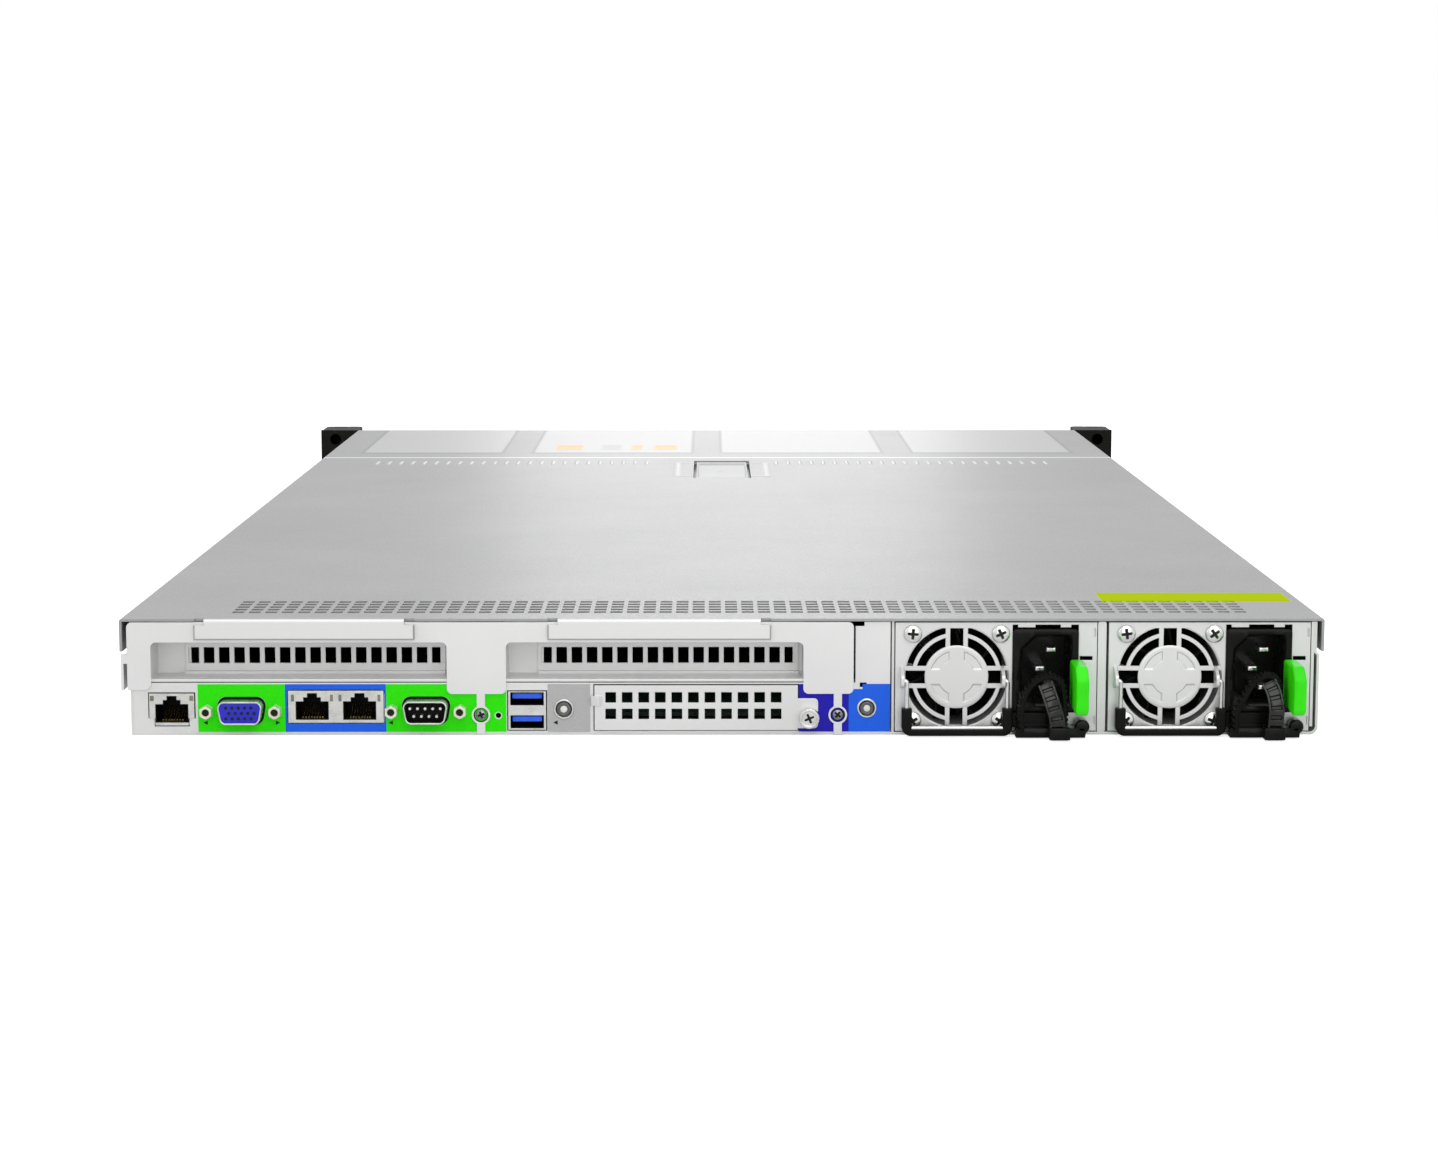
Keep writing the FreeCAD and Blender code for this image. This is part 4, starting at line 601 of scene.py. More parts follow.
def circuit(name, base):
    """Solder mask with a faint net of tracks under it."""
    material, tree, shader = finish_material(name)
    place = add(tree, "ShaderNodeTexCoord")
    cells = add(tree, "ShaderNodeTexVoronoi", Scale=420.0, distance="MANHATTAN")
    tree.links.new(place.outputs["Object"], cells.inputs["Vector"])
    track = spread(tree, cells.outputs["Distance"], 0, 1, 0.2, 0.5)
    body = blend_colours(tree, track, tuple(c * 1.8 for c in base), base)
    tree.links.new(body, shader.inputs["Base Color"])
    bump = add(tree, "ShaderNodeBump")
    bump.inputs["Strength"].default_value = 0.3
    bump.inputs["Distance"].default_value = 0.03 * MM
    tree.links.new(cells.outputs["Distance"], bump.inputs["Height"])
    tree.links.new(bump.outputs["Normal"], shader.inputs["Normal"])
    tree.links.new(spread(tree, cells.outputs["Distance"], 0.25, 0.45), shader.inputs["Roughness"])
    return material


MATERIALS = {}


def make_materials(colours):
    """Every finish by its plain name."""
    c = colours
    black = tuple(c.black)
    MATERIALS.update({
        "cover": cover_print(sheet_steel("cover_sheet", tuple(c.cover), 0.45, (0.34, 0.48)), c),
        "lever": sheet_steel("lever_sheet", tuple(v * 1.12 for v in c.cover), 0.45, (0.34, 0.48)),
        "pan": sheet_steel("pan_sheet", tuple(v * 0.95 for v in c.panel), 0.5),
        "panel": sheet_steel("panel_sheet", tuple(c.panel), 0.45),
        "bracket": sheet_steel("bracket_sheet", tuple(v * 1.04 for v in c.panel), 0.4),
        "supply": sheet_steel("supply_sheet", tuple(v * 0.94 for v in c.panel), 0.5),
        "screw": bright_metal("screw_nickel", (0.80, 0.80, 0.79)),
        "tin": bright_metal("connector_tin", (0.72, 0.72, 0.70), (0.22, 0.38), 0.8),
        "steel": bright_metal("screw_steel", (0.30, 0.30, 0.30), (0.2, 0.34)),
        "gold": bright_metal("contact_gold", (0.86, 0.62, 0.22), (0.15, 0.3)),
        "wire": bright_metal("bail_wire", (0.82, 0.82, 0.82), (0.12, 0.26)),
        "black": moulded("black_moulding", black, gloss=0.08),
        "inlet": moulded("inlet_moulding", black, (0.16, 0.28), 700, 0.01 * MM, gloss=0.14),
        "ear": moulded("ear_moulding", tuple(v * 1.3 for v in black), (0.45, 0.6), 2200, gloss=0.1),
        "tab": moulded("tab_moulding", tuple(c.tab), (0.28, 0.4), 900, 0.015 * MM, 0.05, gloss=0.2),
        # the strap's ladder: black lightened as painted light where the front is lit; its gloss and
        # roughness are its own
        "front_lit_nylon": moulded("strap_nylon", tuple(v * 1.6 for v in black), (0.10, 0.20), 1800, 0.01 * MM,
                         gloss=0.5),
        "button": moulded("button_cap", (0.09, 0.09, 0.09), (0.22, 0.34), 900, 0.01 * MM, 0.3),
        "lens": moulded("button_lens", (0.66, 0.66, 0.63), (0.2, 0.3), 1200, 0.01 * MM, 0.3),
        "green": printed("green_print", tuple(c.green)),
        "blue": printed("blue_print", tuple(c.blue)),
        "navy": printed("navy_print", tuple(c.navy)),
        "grey": printed("grey_print", (0.46, 0.46, 0.46)),
        # dark ink: print for the arrows, and painted shade in the cross recesses, jackscrew bores, contact
        # holes and round the bracket screws
        "ink_and_shade": printed("dark_ink_and_painted_shade", (0.012, 0.02, 0.012)),
        "video": moulded("video_insert", tuple(c.video), (0.3, 0.45), 2600),
        "serial_bus": moulded("tongue_moulding", tuple(c.serial_bus), (0.3, 0.42), 2600),
        # board colour darkened: painted shade behind the blank's holes
        "board": circuit("board_mask_darkened_as_shade", tuple(c.board)),
        "fins": sheet_steel("fin_aluminium", (0.62, 0.62, 0.64), 0.8, (0.28, 0.4)),
        "drive": sheet_steel("drive_casting", (0.42, 0.42, 0.43), 0.7, (0.35, 0.5)),
        "amber": moulded("lamp_amber", (0.19, 0.17, 0.11), (0.15, 0.25), 900, 0.005 * MM, 0.5),
        "lime": moulded("lamp_green", (0.13, 0.15, 0.11), (0.15, 0.25), 900, 0.005 * MM, 0.5),
        "cream": bright_metal("jackscrew_plate", (0.86, 0.83, 0.68), (0.2, 0.34), 0.5),
    })


NODE_FINISH = {
    "cover": ("top_cover", "front_top_cover", "cover_latch"),
    "pan": ("base_pan", "psu_cage", "drive_cage"),
    "panel": ("rear_io_panel", "pcie_blank_1", "pcie_blank_2", "ocp_blank"),
    "bracket": ("riser_bracket",),
    "supply": ("psu_1_case", "psu_2_case"),
    "screw": ("jackscrews", "bracket_screws", "ocp_thumbscrew", "psu_1_screws", "psu_2_screws"),
    "tin": ("mgmt_port", "vga_port", "lan_ports", "com_port", "usb_ports"),
    "wire": ("psu_1_bail", "psu_2_bail"),
    "black": ("psu_1_inlet", "psu_2_inlet", "psu_1_grip", "psu_2_grip", "psu_1_rotor", "psu_2_rotor",
              "fan_frames", "fan_1_rotor", "fan_2_rotor", "fan_3_rotor", "fan_4_rotor", "fan_5_rotor",
              "drive_1_lever", "drive_2_lever", "drive_3_lever", "drive_4_lever"),
    "ear": ("left_ear", "right_ear"),
    "tab": ("psu_1_latch", "psu_2_latch"),
    "front_lit_nylon": ("psu_1_strap", "psu_2_strap"),
    "lens": ("uid_button", "rear_power_button", "front_power_button"),
    "board": ("motherboard", "memory_modules", "riser_cards", "power_board", "drive_backplane"),
    "fins": ("cpu_heatsinks",),
    "drive": ("drive_1_tray", "drive_2_tray", "drive_3_tray", "drive_4_tray"),
}


def settings():
    return bpy.context.scene.server_sizes


# ---------------------------------------------------------------- printed fields
def field(x0, x1, z0, z1, holes, y_back, thickness):
    """A thin plate cut into upright strips, one for each (x_from, x_to, centre, outline) hole."""
    y_front = y_back - thickness
    parts = []
    edge = x0
    for x_from, x_to, centre, outline in sorted(holes, key=lambda h: h[0]):
        if x_from > edge + 1e-6:
            parts.append(block(edge, x_from, y_front, y_back, z0, z1))
        corners = [(x - centre[0], z - centre[1]) for x in (x_from, x_to) for z in (z0, z1)]
        angles = ray_angles(count=96)
        angles = np.unique(np.concatenate([angles, [math.atan2(b, a) % TURN for a, b in corners]]))
        outer = along(straight_outline([(0, x_to - centre[0]), (math.pi / 2, z1 - centre[1]),
                                        (math.pi, centre[0] - x_from), (-math.pi / 2, centre[1] - z0)]),
                      angles, centre)
        inner = along(outline, angles, centre)
        rings = np.array([in_xz(outer, y_front), in_xz(inner, y_front), in_xz(inner, y_back),
                          in_xz(outer, y_back)])
        parts.append(skin(rings, closed_along=True))
        edge = x_to
    if x1 > edge + 1e-6:
        parts.append(block(edge, x1, y_front, y_back, z0, z1))
    return together(parts)


def d_cut():
    """Hole outline for a D connector, a millimetre wider than its shell on each side."""
    return d_outline(18.9 * MM, 10.4 * MM, 3.2 * MM)


class SERVER_OT_printed_fields(Operator):
    """Coloured fields printed on film round the connectors"""
    bl_idname = "server.printed_fields"
    bl_label = "Printed fields"

    def execute(self, context):
        size = settings()
        face = rear_face()
        z0 = low("rear_io_panel").z + 0.2 * MM
        z1 = z0 + 17.6 * MM
        hex_hole = round_outline(2.0 * MM)

        video = middle("vga_port")
        serial = middle("com_port")
        half = JACKSCREW_OUT
        network = middle("lan_ports")
        wide = (high("lan_ports").x - low("lan_ports").x) / 2 + 0.4 * MM
        tall = high("lan_ports").z - low("lan_ports").z + 0.8 * MM
        cut_half = 9.6 * MM
        fields = {}
        fields["green_field_video"] = ("green", field(video.x - 15.9 * MM, video.x + 15.9 * MM, z0, z1, [
            (video.x - 15.5 * MM, video.x - cut_half, (video.x - half, video.z), hex_hole),
            (video.x - cut_half, video.x + cut_half, (video.x, video.z), d_cut()),
            (video.x + cut_half, video.x + 15.5 * MM, (video.x + half, video.z),
             hex_hole)], face, size.film))
        left = video.x + 15.9 * MM
        right = serial.x - 14.6 * MM
        fields["blue_field_network"] = ("blue", field(left, right, z0, z1, [
            (left + 0.1 * MM, right - 0.1 * MM, (network.x, network.z), box_outline(2 * wide, tall))],
            face, size.film))
        fields["green_field_serial"] = ("green", field(right, low("usb_ports").x - 0.7 * MM, z0, z1, [
            (serial.x - 14.5 * MM, serial.x - cut_half, (serial.x - half, serial.z), hex_hole),
            (serial.x - cut_half, serial.x + cut_half, (serial.x, serial.z), d_cut()),
            (serial.x + cut_half, serial.x + 15.5 * MM, (serial.x + half, serial.z), hex_hole),
            (RESET_X - 2.5 * MM, RESET_X + 2.5 * MM, (RESET_X, RESET_Z), round_outline(1.35 * MM))],
            face, size.film))
        button = middle("uid_button")
        fields["grey_field_button"] = ("grey", field(high("usb_ports").x + 0.6 * MM,
                                                     low("ocp_blank").x - 0.2 * MM,
                                                     z0 - 0.1 * MM, z1, [
            (button.x - 5 * MM, button.x + 5 * MM, (button.x, button.z), round_outline(3.75 * MM))],
            face, size.film))
        thumb = middle("ocp_thumbscrew")
        power = middle("rear_power_button")
        navy_left = high("ocp_blank").x - 7.0 * MM
        seam = high("bracket_screws").x + 1.6 * MM
        fields["navy_field"] = ("navy", field(navy_left, seam, z0, z1, [
            (thumb.x - 2.6 * MM, thumb.x + 2.6 * MM, (thumb.x, thumb.z), round_outline(1.9 * MM)),
            ], face, size.film))
        step = seam + 5.0 * MM
        fields["blue_field_power"] = ("blue", together([
            field(seam, high("rear_io_panel").x, z0, z1 - 1.9 * MM, [
                (power.x - 4.5 * MM, power.x + 4.5 * MM, (power.x, power.z), round_outline(3.65 * MM))],
                face, size.film),
            block(step, high("rear_io_panel").x, face - size.film, face, z1 - 1.9 * MM, z1)]))
        for name, (finish, shape) in fields.items():
            place(name, shape, "chassis", finish, "panel_steel")
        return {"FINISHED"}


# ---------------------------------------------------------------- D connectors
D_WIDTH = 16.9 * MM
D_HEIGHT = 8.4 * MM
D_ROUND = 2.4 * MM
D_WALL = 0.5 * MM


def shell_outline(grow=0.0):
    return d_outline(D_WIDTH + 2 * grow, D_HEIGHT + 2 * grow, D_ROUND + grow)


def jackscrew(x, z, seat, front, radius, bore):
    """A hexagon chamfered by a cone, r = min(hexagon(a), cone), with a rippled blind bore."""
    angles = np.arange(48) * TURN / 48
    hexagon = radius * math.cos(math.pi / 6) / np.cos((angles + math.pi / 6) % (math.pi / 3) - math.pi / 6)
    steps = [(1.0, seat), (1.0, front + 0.35 * MM), (0.93, front + 0.12 * MM), (0.86, front)]
    rings = [in_xz(polar(np.minimum(hexagon, radius * s), angles, (x, z)), y) for s, y in steps]
    depth = np.linspace(front, front + 3.4 * MM, 15)
    thread = bore * (1 + 0.05 * np.cos(np.arange(15) * math.pi))
    rings += [in_xz(polar(np.full_like(angles, r), angles, (x, z)), y) for r, y in zip(thread, depth)]
    return skin(np.array(rings))


def polar(radius, angles, centre):
    return np.stack([centre[0] + radius * np.cos(angles), centre[1] + radius * np.sin(angles)], -1)


def cup(outline, centre, y_front, y_back, wall, floor, count=96, sizes=()):
    """An open cup: outer wall back to y_back, inner wall in to the floor."""
    angles = ray_angles(*sizes, count=count)
    rings = [in_xz(along(outline, angles, centre, -wall), floor),
             in_xz(along(outline, angles, centre, -wall), y_front + wall / 2),
             in_xz(along(outline, angles, centre, -wall / 2), y_front),
             in_xz(along(outline, angles, centre), y_front + wall / 2),
             in_xz(along(outline, angles, centre), y_back)]
    return skin(np.array(rings))


class SERVER_OT_d_connectors(Operator):
    """Video socket and serial plug: inserts, painted shade in the contact holes and round the shells, pins,
    rolled rims and jackscrews
    """
    bl_idname = "server.d_connectors"
    bl_label = "D connectors"

    def execute(self, context):
        size = settings()
        video, serial = middle("vga_port"), middle("com_port")
        front = low("vga_port").y
        face = rear_face()

        insert = slab(shell_outline(-D_WALL - 0.03 * MM), (video.x, video.z), front + 0.12 * MM,
                      front + 0.45 * MM,
                      0.15 * MM)
        place("video_insert", insert, "chassis", "video", "connector_metal")
        # dark dots on the insert: painted shade in the contact holes
        dots = []
        for row in range(3):
            for i in range(5):
                x = video.x + ((i - 2) * 2.29 + (0.75 if row == 1 else -0.4)) * MM
                z = video.z + (row - 1) * 1.98 * MM
                y = front + 0.12 * MM
                dots.append(turned([(0.0, y - 0.02 * MM), (0.36 * MM, y - 0.02 * MM),
                                    (0.44 * MM, y - 0.09 * MM),
                                    (0.60 * MM, y - 0.07 * MM), (0.66 * MM,
                                                                 y + 0.1 * MM), (0.0, y + 0.1 * MM)],
                                   (x, 0, z), 16))
        place("video_contact_hole_shade", together(dots), "chassis", "ink_and_shade", "connector_metal")

        liner = cup(shell_outline(-D_WALL - 0.02 * MM), (serial.x, serial.z), front + 0.15 * MM,
                    face - 0.25 * MM,
                    0.45 * MM, face - 1.3 * MM)
        place("serial_insert", liner, "chassis", "black", "black_plastic")
        pins = []
        for count, dz in ((5, 1.42), (4, -1.42)):
            for i in range(count):
                x = serial.x + (i - (count - 1) / 2) * 2.77 * MM
                tip = front + 1.6 * MM
                r = size.pin
                pins.append(turned([(0.0, tip), (r * 0.6, tip + 0.08 * MM), (r * 0.9, tip + 0.3 * MM),
                                    (r, tip + 0.7 * MM), (r, face - 1.2 * MM), (0.0, face - 1.2 * MM)],
                                   (x, 0, serial.z + dz * MM), 20))
        place("serial_pins", together(pins), "chassis", "screw", "connector_metal")

        rims = []
        for centre in (video, serial):
            angles = ray_angles(count=120)
            turn = np.linspace(0, TURN, 10, endpoint=False)
            half = D_WALL / 2 + 0.03 * MM
            rings = [in_xz(along(shell_outline(), angles, (centre.x, centre.z),
                                 -D_WALL / 2 + half * math.cos(t)),
                           front + 0.1 * MM - half * 0.8 * math.sin(t)) for t in turn]
            rims.append(skin(np.array(rings), closed_along=True))
        place("shell_rims", together(rims), "chassis", "tin", "connector_metal")

        # dark rings in the cut-outs round the shells: painted shade
        gap_shade_rings = [self.gap_shade_ring(centre, face) for centre in (video, serial)]
        place("shell_gap_shade", together(gap_shade_rings), "chassis", "black", "connector_metal")

        screws, bore_shades, arrows = [], [], []
        tip = low("jackscrews").y
        for centre in (video, serial):
            for side in (-1, 1):
                x = centre.x + side * JACKSCREW_OUT
                screws.append(jackscrew(x, centre.z, face, tip, 2.5 * MM, 1.35 * MM))
                # dark disc inside each bore: painted shade
                bore_shades.append(turned([(0.0, tip + 1.1 * MM), (1.3 * MM, tip + 1.0 * MM),
                                     (1.3 * MM, tip + 1.3 * MM),
                                     (0.0, tip + 1.3 * MM)], (x, 0, centre.z), 24))
        for x, way in ((video.x - 13.1 * MM, -1), (video.x + 13.1 * MM, 1), (serial.x - 12.9 * MM, -1),
                       (middle("uid_button").x - 3.0 * MM, -1)):
            arrows.append(self.arrow(x, low("rear_io_panel").z + 3.6 * MM, face, way, size.film))
        place("jackscrew_bore_shade", together(bore_shades), "chassis", "ink_and_shade", "screw_steel")
        place("arrow_prints", together(arrows), "chassis", "ink_and_shade", "panel_steel")
        place("jackscrew_set", together(screws), "chassis", "cream", "screw_steel", "jackscrews")
        return {"FINISHED"}

    def gap_shade_ring(self, centre, face):
        """Dark ring that fills the cut-out round a shell: painted shade of the gap."""
        angles = ray_angles(count=120)
        outer = along(shell_outline(0.95 * MM), angles, (centre.x, centre.z))
        inner = along(shell_outline(0.03 * MM), angles, (centre.x, centre.z))
        front, back = face - 0.02 * MM, face + 0.6 * MM
        return skin(np.array([in_xz(outer, front), in_xz(inner, front), in_xz(inner, back),
                              in_xz(outer, back)]),
                    closed_along=True)

    def arrow(self, x, z, face, way, film):
        """A printed triangle that points left or right."""
        flat = np.array([(x + way * 0.9 * MM, z), (x - way * 0.7 * MM, z + 0.8 * MM),
                         (x - way * 0.7 * MM, z - 0.8 * MM)])
        return skin(np.array([in_xz(flat, face - film), in_xz(flat, face - film - 0.05 * MM)]))


# ---------------------------------------------------------------- network jacks and serial bus
JACK_WALL = 1.1 * MM


def stepped_opening(x, z, inset):
    """Plug opening of a network jack, its corners moved inwards by the inset."""
    half, step, tip = 6.0 * MM, 3.2 * MM, 1.8 * MM
    z1, z2, z3 = z + 6.8 * MM, z + 8.3 * MM, z + 9.8 * MM
    i = inset
    return np.array([(x - half + i, z + i), (x + half - i, z + i), (x + half - i, z1 - i),
                     (x + step - i, z1 - i),
                     (x + step - i, z2 - i), (x + tip - i, z2 - i), (x + tip - i,
                                                                     z3 - i), (x - tip + i, z3 - i),
                     (x - tip + i, z2 - i), (x - step + i, z2 - i), (x - step + i,
                                                                     z1 - i), (x - half + i, z1 - i)])


def lined(outer, inner, y_front, y_back, wall):
    """A box lining from an outer and an inner ring of corners, open at the front."""
    return skin(np.array([in_xz(inner, y_back - wall), in_xz(inner, y_front), in_xz(outer, y_front),
                          in_xz(outer, y_back)]))


def contact_wire(x, y0, z0, width):
    """A springy contact: a flat wire that lies on the floor and rises to the back."""
    path = smooth_path([(x, y0, z0), (x, y0 + 2.5 * MM, z0 + 0.1 * MM), (x, y0 + 5 * MM, z0 + 1.2 * MM),
                        (x, y0 + 9 * MM, z0 + 3.6 * MM)], 12)
    return swept(path, superellipse(width, 0.3 * MM, 6, 8), up=(0, 0, 1))


class SERVER_OT_network_jacks(Operator):
    """Dark linings, contact wires and lamp windows of the network jacks"""
    bl_idname = "server.network_jacks"
    bl_label = "Network jacks"

    def execute(self, context):
        size = settings()
        service = middle("mgmt_port")
        pair = middle("lan_ports")
        face = low("lan_ports").y
        jacks = [("service_jack", service.x, low("mgmt_port").z),
                 ("network_jack_1", pair.x - JACK_OUT, low("lan_ports").z),
                 ("network_jack_2", pair.x + JACK_OUT, low("lan_ports").z)]
        for name, x, bottom in jacks:
            z = bottom + JACK_WALL
            outer = stepped_opening(x, z, 0.02 * MM)
            inner = stepped_opening(x, z, 0.30 * MM)
            shape = lined(outer, inner, face - 0.1 * MM, face + 13.0 * MM, 0.3 * MM)
            place(name + "_lining", shape, "chassis", "black", "black_plastic")
            wires = [contact_wire(x + (i - 3.5) * 1.02 * MM, face + 2.2 * MM, z + 0.55 * MM, size.contact)
                     for i in range(8)]
            place(name + "_contacts", together(wires), "chassis", "gold", "connector_metal")
        amber, lime = [], []
        top = high("mgmt_port").z
        lime.append(block(service.x - 7.9 * MM, service.x - 6.5 * MM, face - 0.15 * MM, face + 0.2 * MM,
                          top - 2.7 * MM, top - 0.8 * MM, 0.12 * MM))
        amber.append(block(service.x + 6.5 * MM, service.x + 7.9 * MM, face - 0.15 * MM, face + 0.2 * MM,
                           top - 2.7 * MM, top - 0.8 * MM, 0.12 * MM))
        top = high("lan_ports").z
        for x in (pair.x - JACK_OUT, pair.x + JACK_OUT):
            for side, group in ((-1, lime), (1, amber)):
                lamp_x = x + side * 7.1 * MM
                group.append(block(lamp_x - 0.55 * MM, lamp_x + 0.55 * MM, face - 0.15 * MM,
                                   face + 0.2 * MM, top - 3.9 * MM, top - 1.4 * MM, 0.12 * MM))
        place("amber_lamps", together(amber), "chassis", "amber", "button_plastic")
        place("green_lamps", together(lime), "chassis", "lime", "button_plastic")
        return {"FINISHED"}


class SERVER_OT_bus_sockets(Operator):
    """Coloured tongues and dark linings of the two stacked bus sockets"""
    bl_idname = "server.bus_sockets"
    bl_label = "Bus sockets"

    def execute(self, context):
        face = low("usb_ports").y
        x = middle("usb_ports").x
        z = low("usb_ports").z
        linings, tongues, contacts = [], [], []
        for level in (0, 1):
            z0 = z + (0.6 + 8.5 * level) * MM
            z1 = z0 + 4.8 * MM
            half = 6.1 * MM
            rect = [np.array([(x - half + i, z0 + i), (x + half - i, z0 + i), (x + half - i, z1 - i),
                              (x - half + i, z1 - i)]) for i in (0.02 * MM, 0.2 * MM)]
            linings.append(lined(rect[0], rect[1], face - 0.02 * MM, face + 12.2 * MM, 0.2 * MM))
            top = z1 - 0.45 * MM
            tongues.append(block(x - 5.5 * MM, x + 5.5 * MM, face + 0.9 * MM, face + 12.0 * MM,
                                 top - 2.0 * MM, top, 0.25 * MM))
            for i in range(4):
                cx = x + (i - 1.5) * 2.3 * MM
                contacts.append(block(cx - 0.5 * MM, cx + 0.5 * MM, face + 1.6 * MM, face + 9 * MM,
                                      top - 2.12 * MM, top - 1.95 * MM))
        place("bus_linings", together(linings), "chassis", "black", "black_plastic")
        place("bus_tongues", together(tongues), "chassis", "serial_bus", "black_plastic")
        place("bus_contacts", together(contacts), "chassis", "gold", "connector_metal")
        return {"FINISHED"}


# ---------------------------------------------------------------- buttons and fasteners
def cross_head(x, z, seat, radius, side, crown, turn=0.0, arm=0.16, reach=0.62, depth=0.9 * MM):
    """Domed head: y = seat - side - crown * sqrt(1 - s^2), with a cross pressed in by depth."""
    angles = np.arange(72) * TURN / 72
    shares = np.concatenate([np.linspace(1, 0.7, 6), np.linspace(0.66, 0.02, 17)])
    rings = [in_xz(polar(np.full(72, radius), angles, (x, z)), seat),
             in_xz(polar(np.full(72, radius), angles, (x, z)), seat - side * 0.8)]
    for s in shares:
        u, v = s * np.cos(angles - turn), s * np.sin(angles - turn)
        across = np.minimum(np.abs(u), np.abs(v))
        out = np.maximum(np.abs(u), np.abs(v))
        pressed = np.clip((arm - across) / 0.05, 0, 1) * np.clip((reach - out) / 0.12, 0, 1)
        y = seat - side - crown * math.sqrt(max(1 - s * s, 0)) + depth * pressed * (1 - 0.35 * out)
        rings.append(in_xz(polar(np.full(72, radius * s), angles, (x, z)), y))
    return skin(np.array(rings))


def cross_recess_shade(x, z, y, radius, turn=0.0, arm=0.16, reach=0.62):
    """Dark plate at the floor of a cross recess, painted shade of the recess: the radius is the longer of
    the reaches of its two bars.
    """
    angles = np.arange(96) * TURN / 96
    c = np.maximum(np.abs(np.cos(angles - turn)), 1e-6)
    s = np.maximum(np.abs(np.sin(angles - turn)), 1e-6)
    reached = np.maximum(np.minimum(reach / c, arm / s), np.minimum(reach / s, arm / c)) * radius * 0.94
    flat = polar(reached, angles, (x, z))
    return skin(np.array([in_xz(flat, y + 0.2 * MM), in_xz(flat, y)]))


class SERVER_OT_buttons(Operator):
    """Round buttons with a rim and a lens"""
    bl_idname = "server.buttons"
    bl_label = "Buttons"

    def execute(self, context):
        face = rear_face()
        for node, body, name in (("uid_button", "id_button", "locator"),
                                 ("rear_power_button", "rear_button", "power")):
            at = middle(node)
            r = (high(node).x - low(node).x) / 2
            tip = low(node).y
            back = high(node).y
            cap = turned([(0.0, tip + 0.35 * MM), (r * 0.55, tip + 0.30 * MM), (r * 0.62, tip + 0.05 * MM),
                          (r * 0.80, tip), (r * 0.97,
                                            tip + 0.25 * MM), (r, tip + 0.6 * MM), (r, face + 2 * MM),
                          (1.2 * MM, face + 2 * MM), (1.2 * MM, back), (0.0, back)], (at.x, 0, at.z), 48)
            place(name + "_button_cap", cap, body, "button", "button_plastic", node)
            lens = turned([(0.0, tip - 0.0 * MM), (r * 0.25, tip + 0.04 * MM), (r * 0.45, tip + 0.16 * MM),
                           (r * 0.56, tip + 0.34 * MM), (0.0, tip + 0.36 * MM)], (at.x, 0, at.z), 8)
            place(name + "_button_lens", lens, body, "lens", "button_plastic")
            rim = turned([(r + 0.35 * MM, face + 0.3 * MM), (r + 0.32 * MM, face - 0.5 * MM),
                          (r + 0.5 * MM, face - 0.72 * MM), (r + 0.85 * MM, face - 0.72 * MM),
                          (r + 1.1 * MM, face - 0.45 * MM), (r + 1.15 * MM, face - 0.02 * MM),
                          (r + 1.1 * MM, face + 0.3 * MM)], (at.x, 0, at.z), 56)
            place(name + "_button_rim", self.ring(rim, 56), "chassis", "screw", "panel_steel")
        return {"FINISHED"}

    def ring(self, shape, count):
        """A turned profile that doesn't reach its axis, closed on itself instead of capped."""
        verts, faces = shape
        faces = [f for f in faces if len(f) == 4]
        last = len(verts) - count
        faces += [[i, (i + 1) % count, last + (i + 1) % count, last + i] for i in range(count)]
        return verts, faces


